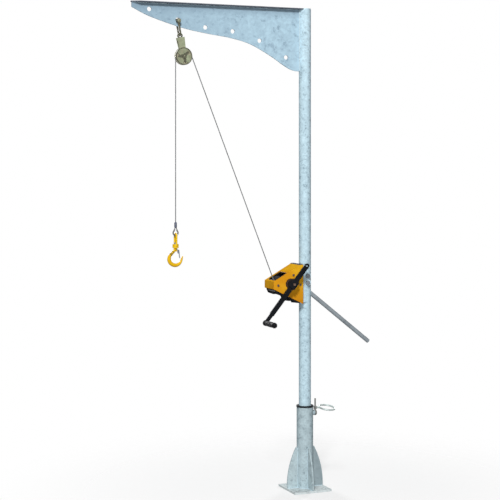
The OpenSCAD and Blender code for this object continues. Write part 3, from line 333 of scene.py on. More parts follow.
class Paint:
    """A material whose colour, roughness and relief come from procedural nodes."""

    def __init__(self, name):
        self.material = bpy.data.materials.new(name)
        self.material.use_nodes = True
        self.tree = self.material.node_tree
        self.tree.nodes.clear()
        out = self.tree.nodes.new("ShaderNodeOutputMaterial")
        self.shader = self.tree.nodes.new("ShaderNodeBsdfPrincipled")
        self.link(self.shader.outputs["BSDF"], out.inputs["Surface"])
        self.place = self.tree.nodes.new("ShaderNodeTexCoord").outputs["Object"]

    def link(self, source, target):
        self.tree.links.new(source, target)

    def put(self, target, value):
        if hasattr(value, "is_linked"):
            self.link(value, target)
        else:
            target.default_value = value

    def noise(self, scale, detail=4, stretch=(1, 1, 1)):
        mapping = self.tree.nodes.new("ShaderNodeMapping")
        mapping.inputs["Scale"].default_value = stretch
        self.link(self.place, mapping.inputs["Vector"])
        node = self.tree.nodes.new("ShaderNodeTexNoise")
        self.link(mapping.outputs["Vector"], node.inputs["Vector"])
        node.inputs["Scale"].default_value = scale
        node.inputs["Detail"].default_value = detail
        node.inputs["Roughness"].default_value = 0.55
        return node.outputs["Fac"]

    def crystals(self, size):
        """One random grey per crystal of about that size in metres, with ragged outlines."""
        bend = self.tree.nodes.new("ShaderNodeTexNoise")
        bend.inputs["Scale"].default_value = 1.6 / size
        self.link(self.place, bend.inputs["Vector"])
        shift = self.tree.nodes.new("ShaderNodeVectorMath")
        shift.operation = "MULTIPLY_ADD"
        self.link(bend.outputs["Color"], shift.inputs[0])
        shift.inputs[1].default_value = (size * 0.7,) * 3
        self.link(self.place, shift.inputs[2])
        node = self.tree.nodes.new("ShaderNodeTexVoronoi")
        node.inputs["Scale"].default_value = 1 / size
        self.link(shift.outputs["Vector"], node.inputs["Vector"])
        split = self.tree.nodes.new("ShaderNodeSeparateColor")
        self.link(node.outputs["Color"], split.inputs["Color"])
        return split.outputs["Red"]

    def math(self, kind, a, b, clamp=False):
        node = self.tree.nodes.new("ShaderNodeMath")
        node.operation = kind
        node.use_clamp = clamp
        self.put(node.inputs[0], a)
        self.put(node.inputs[1], b)
        return node.outputs["Value"]

    def times(self, a, b):
        return self.math("MULTIPLY", a, b)

    def total(self, *parts):
        """The sum of values, each times its weight."""
        result = None
        for value, weight in parts:
            if weight != 1:
                value = self.times(value, weight)
            result = value if result is None else self.math("ADD", result, value)
        return result

    def between(self, value, low, high, to_low=0.0, to_high=1.0):
        """The value's range from low to high, stretched to another range and held inside it."""
        node = self.tree.nodes.new("ShaderNodeMapRange")
        self.put(node.inputs["Value"], value)
        for key, number in (("From Min", low), ("From Max", high),
                            ("To Min", to_low), ("To Max", to_high)):
            node.inputs[key].default_value = number
        return node.outputs["Result"]

    def ramp(self, value, stops):
        """A colour for each value from 0 to 1, blended between the given stops."""
        node = self.tree.nodes.new("ShaderNodeValToRGB")
        self.link(value, node.inputs["Fac"])
        elements = node.color_ramp.elements
        while len(elements) < len(stops):
            elements.new(0.5)
        for element, (at, colour) in zip(elements, stops):
            element.position = at
            element.color = (*colour, 1)
        return node.outputs["Color"]

    def mix(self, share, a, b):
        """Colour a, with a share of colour b over it."""
        node = self.tree.nodes.new("ShaderNodeMix")
        node.data_type = "RGBA"
        self.put(node.inputs[0], share)
        for target, value in ((node.inputs[6], a), (node.inputs[7], b)):
            self.put(target, value if hasattr(value, "is_linked") else (*value, 1))
        return node.outputs[2]

    def relief(self, height, strength, distance, edge=0.0008):
        """Relief from a height, over edges that are rounded by the given radius in metres."""
        bump = self.tree.nodes.new("ShaderNodeBump")
        bump.inputs["Strength"].default_value = strength
        bump.inputs["Distance"].default_value = distance
        self.link(height, bump.inputs["Height"])
        if edge:
            bevel = self.tree.nodes.new("ShaderNodeBevel")
            bevel.samples = 4
            bevel.inputs["Radius"].default_value = edge
            self.link(bevel.outputs["Normal"], bump.inputs["Normal"])
        self.link(bump.outputs["Normal"], self.shader.inputs["Normal"])

    def along(self, axis, low, high):
        """0 at the low coordinate and 1 at the high one, in metres along an axis."""
        split = self.tree.nodes.new("ShaderNodeSeparateXYZ")
        self.link(self.place, split.inputs["Vector"])
        return self.between(split.outputs[axis], low, high)

    def worn_edge(self, radius):
        """About 1 along sharp edges and 0 on flat faces."""
        bevel = self.tree.nodes.new("ShaderNodeBevel")
        bevel.samples = 4
        bevel.inputs["Radius"].default_value = radius
        geometry = self.tree.nodes.new("ShaderNodeNewGeometry")
        dot = self.tree.nodes.new("ShaderNodeVectorMath")
        dot.operation = "DOT_PRODUCT"
        self.link(bevel.outputs["Normal"], dot.inputs[0])
        self.link(geometry.outputs["Normal"], dot.inputs[1])
        return self.between(dot.outputs["Value"], 0.995, 0.86)

    def pale_edges(self, colour, light, gain, share, radius):
        """The colour, with a share of a brighter one along sharp edges."""
        paler = tuple(min(1, gain * c) for c in light)
        return self.mix(self.times(self.worn_edge(radius), share), colour, paler)

    def finish(self, colour, roughness, metallic, specular):
        self.put(self.shader.inputs["Base Color"], colour)
        self.put(self.shader.inputs["Roughness"], roughness)
        self.shader.inputs["Metallic"].default_value = metallic
        self.shader.inputs["Specular IOR Level"].default_value = specular
        return self.material


def galvanised(name, light, dark, size=0.011, cloud=16, metallic=0.0, rough=0.55, lumps=0.5,
               specular=0.0, painted_shade=()):
    """Hot-dip zinc: crystals, cloudy patches, runs along Z and a faintly lumpy skin.

    Each row of painted_shade is an axis, where it starts and where it is full in metres, and its
    depth: painted shade that darkens the zinc towards the full end, broken up by the cloudy
    patches.
    """
    p = Paint(name)
    crystal = p.crystals(size)
    cloudy = p.noise(cloud, 5)
    runs = p.noise(30, 4, (1, 1, 0.18))
    fine = p.noise(620, 3)
    spot = p.crystals(size * 0.42)
    value = p.total((crystal, 0.22), (cloudy, 0.62), (runs, 0.30), (spot, 0.10))
    share = p.between(value, 0.37, 0.80)
    middle = tuple(0.36 * a + 0.64 * b for a, b in zip(dark, light))
    colour = p.ramp(share, [(0.0, dark), (0.36, middle), (1.0, light)])
    # Painted shade: each row darkens the zinc along its axis.
    for axis, low, high, depth in painted_shade:
        shade_share = p.times(p.along(axis, low, high), p.between(cloudy, 0.2, 0.8, 0.7, 1.2))
        colour = p.mix(p.math("MULTIPLY", shade_share, depth, True), colour,
                       tuple(0.8 * c for c in dark))
    colour = p.pale_edges(colour, light, 1.15, 0.35, 0.0014)
    lumpy = p.noise(95, 3)
    p.relief(p.total((lumpy, 0.8), (fine, 0.12), (crystal, 0.10)), lumps, 0.0012)
    roughness = p.between(p.total((crystal, 1), (fine, 1)), 0.3, 1.7, rough - 0.09, rough + 0.12)
    return p.finish(colour, roughness, metallic, specular)


def plated(name, light, dark, rough, metallic, tint=None, specular=0.3):
    """Machined or plated steel: fine grain, a smoky cloud and slightly worn edges."""
    p = Paint(name)
    cloud = p.noise(38, 5)
    fine = p.noise(900, 3)
    value = p.total((cloud, 0.8), (fine, 0.25))
    colour = p.ramp(p.between(value, 0.30, 0.76), [(0.0, dark), (1.0, light)])
    if tint:
        colour = p.mix(p.between(p.noise(55, 3), 0.45, 0.7), colour, tint)
    colour = p.pale_edges(colour, light, 1.5, 0.4, 0.0015)
    p.relief(p.total((fine, 0.5), (cloud, 1)), 0.25, 0.0004, 0.0006)
    roughness = p.between(value, 0.3, 0.8, rough - 0.07, rough + 0.12)
    return p.finish(colour, roughness, metallic, specular)


def enamel(name, base, shade, chip, rough=0.36, wear=0.55, specular=0.08, low=None):
    """Sprayed enamel: slight colour drift, dull specks, orange peel and chipped edges.

    low is a height, a lower one in metres, and a darker colour that the enamel takes between them:
    painted shade towards the bottom.
    """
    p = Paint(name)
    drift = p.noise(11, 4)
    speck = p.noise(210, 4)
    colour = p.mix(p.between(drift, 0.36, 0.68), base, shade)
    # Painted shade: the colour darkens from the first height down to the second.
    if low:
        start, end, shaded_colour = low
        colour = p.mix(p.times(p.along("Z", start, end), 0.8), colour, shaded_colour)
    dust = p.times(p.between(p.noise(60, 5), 0.52, 0.78), 0.35)
    colour = p.mix(dust, colour, tuple(0.62 * c for c in shade))
    chipped = p.times(p.worn_edge(0.0013), p.between(speck, 0.50, 0.60))
    colour = p.mix(p.times(chipped, wear), colour, chip)
    p.relief(p.total((p.noise(520, 2), 1), (speck, 0.3)), 0.3, 0.00025, 0.001)
    roughness = p.between(drift, 0.3, 0.7, rough - 0.05, rough + 0.1)
    return p.finish(colour, roughness, 0.0, specular)


def moulded(name, base, light, rough, grain=900):
    """Moulded plastic or rubber: fine grain, scuffs and paler worn edges."""
    p = Paint(name)
    scuff = p.noise(85, 5, (1, 0.35, 1))
    colour = p.mix(p.between(scuff, 0.5, 0.8), base, light)
    colour = p.pale_edges(colour, light, 1.7, 0.4, 0.0012)
    p.relief(p.noise(grain, 3), 0.35, 0.0003, 0.0012)
    roughness = p.between(scuff, 0.3, 0.75, rough - 0.08, rough + 0.12)
    return p.finish(colour, roughness, 0.0, 0.05)


def dull_wire(name):
    """Galvanised wire that has gone dull: a fine grey speckle with patches of grease."""
    p = Paint(name)
    strand = p.noise(900, 3)
    grease = p.noise(35, 4)
    colour = p.ramp(p.between(strand, 0.34, 0.66), [(0.0, (0.10, 0.105, 0.11)),
                                                    (1.0, (0.30, 0.31, 0.32))])
    colour = p.mix(p.between(grease, 0.45, 0.75, 0.0, 0.45), colour, (0.13, 0.125, 0.115))
    p.relief(strand, 0.5, 0.0003, 0)
    return p.finish(colour, p.between(grease, 0.3, 0.7, 0.42, 0.60), 0.15, 0.1)


def weld(name, paths, radius, body, zinc):
    """Rippled weld beads along seams; the paths are in metres and the radius in millimetres."""
    r = radius / 1000
    beads = []
    for k, path in enumerate(paths):
        def ripple(along, a, k=k):
            wander = 0.09 * math.sin(along / r * 0.9 + k) + 0.05 * math.sin(along / r * 2.3 + 2 * k)
            return r * (0.86 + 0.14 * abs(math.sin(along / r * 1.35)) + wander)
        beads.append(sweep(f"bead_{k}", resample(path, r * 0.34), ripple, 8))
    piece = join(name, beads)
    return dress(piece, zinc, body, "galvanised")


def turned(point, turn):
    """A point given in millimetres, turned about Z by that many radians."""
    c = math.cos(turn)
    s = math.sin(turn)
    return place(point[0] * c - point[1] * s, point[0] * s + point[1] * c, point[2])


def round_pipe(host_r, pipe_r):
    """Round a pipe that stands on a larger one: across, up, and the larger one's depth there."""
    steps = 32
    out = []
    for i in range(steps + 1):
        t = 2 * math.pi * i / steps
        across = pipe_r * math.cos(t)
        out.append((across, pipe_r * math.sin(t), math.sqrt(host_r ** 2 - across * across)))
    return out


def make_welds(zinc):
    """Beads at the foot, the fins, the lock's boss, the jib, the handle and the cap."""
    inset = math.sqrt(SOCKET_R ** 2 - FIN_HALF ** 2)
    feet = []
    sides = []
    for turn in range(4):
        a = turn * math.pi / 2
        for side in (-FIN_HALF, FIN_HALF):
            feet.append([turned((r, side, PLATE_TOP), a) for r in (inset + 1, 70, 95.5)])
            sides.append([turned((inset, side, z), a)
                          for z in (PLATE_TOP + 2, 110, FIN_TOP - 1)])
        sides.append([turned((inset + 1, y, FIN_TOP), a) for y in (-FIN_HALF, 0, FIN_HALF)])
        gap = math.asin(FIN_HALF / SOCKET_R) + 0.02
        quarter = [gap + (math.pi / 2 - 2 * gap) * i / 12 for i in range(13)]
        feet.append([turned((SOCKET_R * math.cos(t), SOCKET_R * math.sin(t), PLATE_TOP), a)
                     for t in quarter])
    weld("foot_welds", feet, 2.8, "base", zinc)
    weld("fin_welds", sides, 2.4, "base", zinc)

    boss = [place(depth, across, LOCK_Z + up)
            for across, up, depth in round_pipe(SOCKET_R, LOCK_BOSS_R)]
    weld("boss_weld", [boss], 2.2, "base", zinc)

    seams = []
    for y in (-WEB_HALF, WEB_HALF):
        seams.append([place(-30.2, y * 1.15, z) for z in (2087, 2200, 2300, 2391)])
    weld("jib_column_welds", seams, 3.2, "column", zinc)

    long_seams = []
    for y in (-WEB_HALF, WEB_HALF):
        long_seams.append([place(x, y * 1.1, 2393.6) for x in (-34, -400, -904)])
    flange_half = 23.5
    across_flange = [-flange_half + 2 * flange_half * i / 16 for i in range(17)]
    long_seams.append([place(-math.sqrt(COLUMN_R ** 2 - y * y), y, 2393.4)
                       for y in across_flange])
    weld("jib_flange_welds", long_seams, 1.9, "column", zinc)

    root = []
    for across, up, depth in round_pipe(COLUMN_R, HANDLE_R):
        out = (depth - up * math.sin(HANDLE_DROP)) / math.cos(HANDLE_DROP)
        root.append(place(out * math.cos(HANDLE_DROP) + up * math.sin(HANDLE_DROP), across,
                          HANDLE_Z - out * math.sin(HANDLE_DROP) + up * math.cos(HANDLE_DROP)))
    weld("handle_weld", [root], 2.2, "column", zinc)

    cap_rim_r = 27.2
    cap_rim_z = 2398.0
    rim = [turned((cap_rim_r, 0, cap_rim_z), 2 * math.pi * i / 40) for i in range(41)]
    weld("cap_weld", [rim], 1.5, "column", zinc)


def thread(name, start, axis, radius, length, pitch, material, body, slot):
    """A helical ridge on a bolt's end; all in millimetres."""
    axis = Vector(axis).normalized()
    helper = Vector((0, 0, 1)) if abs(axis.z) < 0.9 else Vector((1, 0, 0))
    n = helper.cross(axis).normalized()
    b = axis.cross(n)
    turns = max(1, int(length / pitch))
    per_turn = 20
    r = radius - 0.35
    ridge_r = pitch * 0.00036
    points = []
    for i in range(turns * per_turn + 1):
        a = 2 * math.pi * i / per_turn
        points.append((Vector(start) + axis * pitch * i / per_turn
                       + r * (math.cos(a) * n + math.sin(a) * b)) / 1000)
    ridge = sweep(name, points, lambda along, a: ridge_r, 6)
    return dress(ridge, material, body, slot)


def washer(name, centre, axis, inner, outer, thick, material, body, slot):
    """A flat washer with softened edges, in millimetres."""
    lip = 0.25
    profile = [(inner, 0), (outer - lip, 0), (outer, lip), (outer, thick - lip),
               (outer - lip, thick), (inner, thick), (inner, 0)]
    return dress(lathe(name, profile, centre, axis), material, body, slot)


def catmull(stations, steps):
    """Points of a smooth curve through the stations, as in the part's source."""
    out = []
    last = len(stations) - 1
    for i in range(last):
        a = stations[max(i - 1, 0)]
        b = stations[i]
        c = stations[i + 1]
        d = stations[min(i + 2, last)]
        for k in range(steps):
            t = k / steps
            out.append([0.5 * (2 * q + (r - p) * t + (2 * p - 5 * q + 4 * r - s) * t * t
                               + (3 * q - p - 3 * r + s) * t ** 3)
                        for p, q, r, s in zip(a, b, c, d)])
    out.append(list(stations[-1]))
    return out


# Along the hook's bowl: angle in degrees, offset from the throat's radius, half width
HOOK_STATIONS = [[90, 18.5, 8], [94, 11, 7.5], [109, 2, 6.5], [133, -1.5, 6.5], [156, 0, 7.5],
                 [178, 1, 9], [203, 1.5, 9.5], [232, 1, 9.5], [270, 0.5, 9], [302, 0, 7.5],
                 [333, -0.5, 5.5], [358, 0, 4.5], [375, 6, 2]]


def hook_place(angle, radius):
    """A point in millimetres, at an angle in degrees round the middle of the hook's throat."""
    a = math.radians(angle)
    return Vector((HOOK_X + radius * math.cos(a), 0, THROAT_Z + radius * math.sin(a)))


def make_hook(paint, steel, dark):
    """The forged hook with its collar and the latch's lug, the shank's nut and the neck's bands."""
    top = BOSS_LOW - 0.3
    flat_half = 7
    stations = catmull(HOOK_STATIONS, 7)
    centres = [hook_place(s[0], HOOK_R + s[1]) for s in stations]
    sides = 28
    verts = []
    for i, s in enumerate(stations):
        before = centres[max(i - 1, 0)]
        after = centres[min(i + 1, len(stations) - 1)]
        tangent = (after - before).normalized()
        width = s[2] * 0.99
        for j in range(sides):
            a = 2 * math.pi * j / sides
            bulge = 1 - 0.10 * max(0, math.cos(a)) * abs(math.sin(a))
            out = width * math.cos(a)
            side = min(width, flat_half) * math.sin(a) * bulge
            v = centres[i] + Vector((-out * tangent.z, side, out * tangent.x))
            verts.append(Vector((v.x, v.y, min(v.z, top))) / 1000)
    faces = skin(len(stations), sides)
    tip_length = 0.6
    tip_at = centres[-1] + (centres[-1] - centres[-2]).normalized() * tip_length
    verts.append(tip_at / 1000)
    tip = len(verts) - 1
    ring = (len(stations) - 1) * sides
    faces += [(ring + j, ring + (j + 1) % sides, tip) for j in range(sides)]
    faces.append(tuple(range(sides))[::-1])
    bowl = add_mesh("hook_bowl", verts, faces)
    collar = lathe("collar", [(0, 0), (7.5, 0), (8.9, 1.2), (8.9, 6.4), (8.2, 7.4), (0, 7.4)],
                   (HOOK_X, 0, top - 7.5), (0, 0, 1))
    lug_r = 5
    lug_half = 3
    lug_x = HOOK_X + 12
    lug_z = BOSS_LOW - 14
    outline = [(HOOK_X, lug_z + 5), (HOOK_X, lug_z - 3)]
    outline += [(lug_x + lug_r * math.cos(t), lug_z + lug_r * math.sin(t))
                for t in [-math.pi / 2 + math.pi * i / 14 for i in range(15)]]
    count = len(outline)
    verts = [place(x, y, z) for y in (-lug_half, lug_half) for x, z in outline]
    faces = [tuple(range(count)), tuple(range(count, 2 * count))[::-1]] + skin(2, count)
    lug = add_mesh("lug", verts, faces)
    forging = sharp_edges(join("hook_forging", [bowl, collar, lug]), 50)
    dress(forging, paint, "hook", "hook_paint", "hook")

    shank = lathe("shank", [(0, 0), (5, 0), (5, 18.2), (7.4, 18.3), (7.5, 19), (7.5, 23.6),
                            (6.6, 25.2), (3.8, 26.3), (0, 26.6)], (HOOK_X, 0, top), (0, 0, 1))
    dress(shank, steel, "hook", "zinc_bright")

    bands = []
    band_angles = (112, 128, 143)
    band_profile = ((-2.6, 0.0), (-2.1, 0.7), (2.1, 0.7), (2.6, 0.0))
    sides = 36
    for angle in band_angles:
        i = min(range(len(stations)), key=lambda k: abs(stations[k][0] - angle))
        tangent = (centres[i + 1] - centres[i - 1]).normalized()
        across = Vector((-tangent.z, 0, tangent.x))
        w = stations[i][2]
        verts = []
        for along, grow in band_profile:
            for j in range(sides):
                a = 2 * math.pi * j / sides
                side = Vector((0, (min(w, flat_half) + grow) * math.sin(a), 0))
                verts.append((centres[i] + tangent * along + across * (w + grow) * math.cos(a)
                              + side) / 1000)
        faces = [tuple(range(sides))[::-1], tuple(range(3 * sides, 4 * sides))]
        bands.append(add_mesh("band", verts, faces + skin(4, sides)))
    dress(sharp_edges(join("hook_bands", bands)), dark, "hook", "hook_paint")


def make_grip(rubber):
    """The crank's handle: a collar, a slightly barrelled fluted body and a rounded end."""
    x = CRANK[0] - ARM_LENGTH * math.sin(ARM_ANGLE)
    z = CRANK[2] - ARM_LENGTH * math.cos(ARM_ANGLE)
    start_y = -94.9
    end_r = 13.9
    profile = [(5.06, 0), (12.6, 0), (13.8, 0.8), (13.9, 5), (13.0, 7.5), (12.5, 10)]
    profile += [(12.5 + 1.1 * math.sin(math.pi * i / 20), 10 + 82 * i / 20)
                for i in range(1, 20)]
    profile += [(12.6, 92), (13.2, 95), (end_r, 98)]
    for i in range(12):
        a = math.pi / 2 * i / 12
        profile.append((end_r * math.cos(a), 101 + end_r * math.sin(a)))
    profile += [(0, 114.9)]
    flute_count = 18
    flute_depth = 0.45
    first, last, fade, least_r = 14, 88, 5, 8

    def flutes(r, h, a):
        if not first < h < last or r < least_r:
            return r
        depth = flute_depth * min(1, (h - first) / fade, (last - h) / fade)
        return r - depth * (0.5 + 0.5 * math.cos(flute_count * a))
    grip = lathe("grip_moulding", profile, (x, start_y, z), (0, -1, 0), 108, flutes)
    dress(grip, rubber, "grip", "grip_polymer", "crank_grip")


def make_cover_details(rubber, dark):
    """Edging round the rope's slot, the seal along the cover's top, and dark grey dishes on the
    screws' heads painted as the shade in their sockets.
    """
    ridge_u, ridge_z = COVER_RIDGE
    nose_u, nose_z = COVER_NOSE
    slope = (nose_z - ridge_z) / (nose_u - ridge_u)
    lift = 0.2

    def on_slope(u, y):
        return place(-u, y, ridge_z + (u - ridge_u) * slope + lift)
    u1, u2 = COVER_SLOT_REACH
    y1, y2 = COVER_SLOT_Y
    corner = 6
    loop = []
    for cu, cy, start in ((u2 - corner, y2 - corner, 0), (u1 + corner, y2 - corner, 90),
                          (u1 + corner, y1 + corner, 180), (u2 - corner, y1 + corner, 270)):
        for i in range(7):
            a = math.radians(start + 15 * i)
            loop.append(on_slope(cu + corner * math.cos(a), cy + corner * math.sin(a)))
    loop = resample(loop + [loop[0]], 0.003)[:-1]
    edging = sweep("slot_edging", loop, lambda along, a: 0.0016, 10, closed=True)
    dress(edging, rubber, "column", "bush_polymer")

    verts = []
    profile = [(36, 1125.4), (36, 1127.4), (49.6, 1127.6), (54.5, 1125.2), (54, 1123.4),
               (49, 1125.9)]
    end_drop = 0.5
    for y, drop in ((-56.6, end_drop), (-55.6, 0), (55.6, 0), (56.6, end_drop)):
        for u, z in profile:
            verts.append(place(-u, y, z - drop if z > ridge_z else z))
    n = len(profile)
    faces = [tuple(range(n)), tuple(range(3 * n, 4 * n))[::-1]] + skin(4, n)
    dress(sharp_edges(add_mesh("cover_top_seal", verts, faces)), dark, "column", "black_paint")

    # Painted shade: dark grey dishes on the screws' heads stand for the shade inside their sockets.
    sockets = []
    head_face = 59
    profile = [(3.0, 0), (3.0, 0.25), (2.2, 0.25), (1.9, 0.05), (0, 0.05)]
    for u, z in COVER_SCREWS:
        for way in (-1, 1):
            sockets.append(lathe("socket", profile, (-u, way * head_face, z), (0, way, 0), 6))
    dress(join("screw_sockets", sockets), dark, "column", "zinc_bright")


def make_block_details(olive, dark):
    """A rolled rim and a three-armed pressing on each cheek, and the axle's grease nipple."""
    x0, _, z0 = SHEAVE
    rim = [(37.4, -0.2), (37.6, 0.8), (38.6, 1.6), (40.2, 1.8), (41.6, 1.4), (42.3, 0.6),
           (42.4, -0.2), (37.4, -0.2)]
    arms = (48, 182, 285)
    hub_r, arm_reach, arm_spread, web_cut = 11, 21, 15, 5
    layers = ((0.0, 1), (1.1, 1), (1.6, 0.97))
    for side in (-1, 1):
        ring = lathe(f"cheek_rim_{side + 1}", rim, (x0, side * CHEEK_FACE, z0), (0, side, 0), 72)
        dress(ring, dark, "column", "zinc_olive")
        outline = []
        for k in range(72):
            a = math.radians(5 * k)
            near = min(abs((math.degrees(a) - arm + 180) % 360 - 180) for arm in arms)
            r = hub_r + arm_reach / (1 + (near / arm_spread) ** 2) - (web_cut if near > 45 else 0)
            outline.append((r * math.cos(a), r * math.sin(a)))
        count = len(outline)
        verts = []
        for rise, shrink in layers:
            verts += [place(x0 + x * shrink, side * (CHEEK_FACE + rise), z0 + z * shrink)
                      for x, z in outline]
        faces = [tuple(range(count)), tuple(range(2 * count, 3 * count))[::-1]] + skin(3, count)
        star = sharp_edges(add_mesh(f"cheek_pressing_{side + 1}", verts, faces), 50)
        dress(star, dark, "column", "zinc_olive")
    nipple = [(0, 0), (3.2, 0), (3.2, 1.2), (1.7, 1.6), (1.7, 2.6), (2.4, 3.2), (2.4, 4.2),
              (1.2, 5.2), (0, 5.4)]
    dress(lathe("grease_nipple", nipple, (x0, -16, z0), (0, -1, 0), 20), olive, "column",
          "zinc_olive")


def make_fasteners(steel, olive):
    """Washers and threads of the bracket's bolts, the axle's thread and the shackle pin's end."""
    seat_y = 34.3
    nut_face_y = 41
    for k, z in enumerate(BOLTS_Z):
        for where, way in (("near", -1), ("far", 1)):
            washer(f"bolt_washer_{where}_{k}", (0, way * seat_y, z), (0, way, 0), BOLT_R, 12.6,
                   1.2, steel, "column", "zinc_bright")
        thread(f"bolt_thread_{k}", (0, nut_face_y, z), (0, 1, 0), BOLT_R, 3, 1.4, steel,
               "column", "zinc_bright")
    thread("axle_thread", (SHEAVE[0], 18, SHEAVE[2]), (0, 1, 0), 6, 2, 1, olive, "column",
           "dark_steel")
    head = [(0, 0), (4.6, 0), (5.4, 0.6), (5.4, 1.8), (4.2, 2.6), (0, 3.0)]
    pin_end = (-677, -27, 2313.1)
    dress(lathe("shackle_pin_end", head, pin_end, (0, -1, 0), 24), olive, "column",
          "zinc_olive")


def make_stage():
    """A pale floor that fades into the white surroundings."""
    grey = 0.45
    glow_level = 0.52
    fade_start = 0.35
    fade_end = 1.7
    verts = [place(0, 0, 0)]
    rings = [300, 700, 1200, 2000, 3200, 5000]
    sides = 64
    for r in rings:
        verts += [place(r * math.cos(2 * math.pi * j / sides),
                        r * math.sin(2 * math.pi * j / sides), 0) for j in range(sides)]
    faces = [(0, 1 + j, 1 + (j + 1) % sides) for j in range(sides)]
    for i in range(len(rings) - 1):
        a = 1 + i * sides
        faces += [(a + j, a + sides + j, a + sides + (j + 1) % sides, a + (j + 1) % sides)
                  for j in range(sides)]
    floor = add_mesh("floor", verts, faces)
    material = bpy.data.materials.new("pale_floor")
    material.use_nodes = True
    tree = material.node_tree
    tree.nodes.clear()
    add = tree.nodes.new
    link = tree.links.new
    out = add("ShaderNodeOutputMaterial")
    diffuse = add("ShaderNodeBsdfDiffuse")
    diffuse.inputs["Color"].default_value = (grey, grey, grey, 1)
    glow = add("ShaderNodeEmission")
    path = add("ShaderNodeLightPath")
    level = add("ShaderNodeMath")
    level.operation = "MULTIPLY"
    level.inputs[1].default_value = glow_level
    link(path.outputs["Is Camera Ray"], level.inputs[0])
    link(level.outputs["Value"], glow.inputs["Strength"])
    both = add("ShaderNodeAddShader")
    link(diffuse.outputs["BSDF"], both.inputs[0])
    link(glow.outputs["Emission"], both.inputs[1])
    clear = add("ShaderNodeBsdfTransparent")
    where = add("ShaderNodeTexCoord")
    far = add("ShaderNodeVectorMath")
    far.operation = "LENGTH"
    link(where.outputs["Object"], far.inputs[0])
    fade = add("ShaderNodeMapRange")
    fade.interpolation_type = "SMOOTHSTEP"
    fade.inputs["From Min"].default_value = fade_start
    fade.inputs["From Max"].default_value = fade_end
    link(far.outputs["Value"], fade.inputs["Value"])
    mix = add("ShaderNodeMixShader")
    link(fade.outputs["Result"], mix.inputs["Fac"])
    link(both.outputs["Shader"], mix.inputs[1])
    link(clear.outputs["BSDF"], mix.inputs[2])
    link(mix.outputs["Shader"], out.inputs["Surface"])
    floor.data.materials.append(material)


# Each lamp's place and aim and its width and height, all in metres, and its power in watts
LAMPS = [
    ("key", (-3.3, -5.9, 6.4), (-0.2, 0, 1.4), (1.2, 1.4), 590),
    ("front", (-3.1, -6.5, 1.0), (-0.2, 0, 0.8), (1.0, 1.6), 175),
    ("back_right", (4.6, 3.9, 2.6), (-0.1, 0, 1.2), (1.4, 2.2), 170),
    ("back_left", (-0.6, 6.2, 2.8), (-0.3, 0, 1.2), (1.4, 2.2), 190),
]


def add_lamp(name, at, towards, size, watts):
    data = bpy.data.lights.new(name, "AREA")
    data.shape = "RECTANGLE"
    data.size, data.size_y = size
    data.energy = watts
    lamp = bpy.data.objects.new(name, data)
    lamp.location = at
    lamp.rotation_euler = (Vector(towards) - Vector(at)).to_track_quat("-Z", "Y").to_euler()
    bpy.context.scene.collection.objects.link(lamp)


def make_light():
    """The lamps, and surroundings that look white but light the crane only softly."""
    for row in LAMPS:
        add_lamp(*row)
    world = bpy.data.worlds.new("surroundings")
    bpy.context.scene.world = world
    world.use_nodes = True
    tree = world.node_tree
    tree.nodes.clear()
    out = tree.nodes.new("ShaderNodeOutputWorld")
    soft = tree.nodes.new("ShaderNodeBackground")
    soft.inputs["Color"].default_value = (0.94, 0.97, 1.0, 1)
    soft.inputs["Strength"].default_value = 0.07
    white = tree.nodes.new("ShaderNodeBackground")
    white.inputs["Color"].default_value = (1, 1, 1, 1)
    white.inputs["Strength"].default_value = 1
    path = tree.nodes.new("ShaderNodeLightPath")
    share = path.outputs["Is Camera Ray"]
    for name in ("Is Glossy Ray", "Is Transmission Ray"):
        add = tree.nodes.new("ShaderNodeMath")
        add.operation = "MAXIMUM"
        tree.links.new(share, add.inputs[0])
        tree.links.new(path.outputs[name], add.inputs[1])
        share = add.outputs["Value"]
    mix = tree.nodes.new("ShaderNodeMixShader")
    tree.links.new(share, mix.inputs["Fac"])
    tree.links.new(soft.outputs["Background"], mix.inputs[1])
    tree.links.new(white.outputs["Background"], mix.inputs[2])
    tree.links.new(mix.outputs["Shader"], out.inputs["Surface"])


make_camera()
WIRE = dull_wire("wire_rope")
make_ropes(WIRE)

ZINC = galvanised("galvanised_steel", (0.60, 0.79, 0.88), (0.22, 0.31, 0.37), size=0.008,
                  cloud=36, lumps=0.7)
# The web's painted shade: darker towards its top, where the flange's shadow falls on it, and darker
# towards the jib's tip.
ZINC_WEB = galvanised("galvanised_sheet", (0.46, 0.64, 0.75), (0.24, 0.34, 0.43), size=0.012,
                      cloud=22, lumps=0.25,
                      painted_shade=(("Z", 2.345, 2.395, 0.75), ("X", -0.20, -0.95, 0.65)))
# The flange gets a much darker copy of the zinc: painted shade for its shaded underside and edge.
ZINC_FLANGE_SHADED = galvanised("galvanised_flange_shaded", (0.11, 0.13, 0.16), (0.045, 0.052, 0.065))
ZINC_FOOT = galvanised("galvanised_foot", (0.50, 0.62, 0.66), (0.17, 0.23, 0.26), size=0.008,
                       cloud=40)
# The base plate gets a paler copy of the zinc: painted light for its top, which is lit from above.
ZINC_PLATE_LIT = galvanised("galvanised_plate_lit", (0.72, 0.79, 0.80), (0.36, 0.41, 0.42), size=0.012,
                        cloud=20)
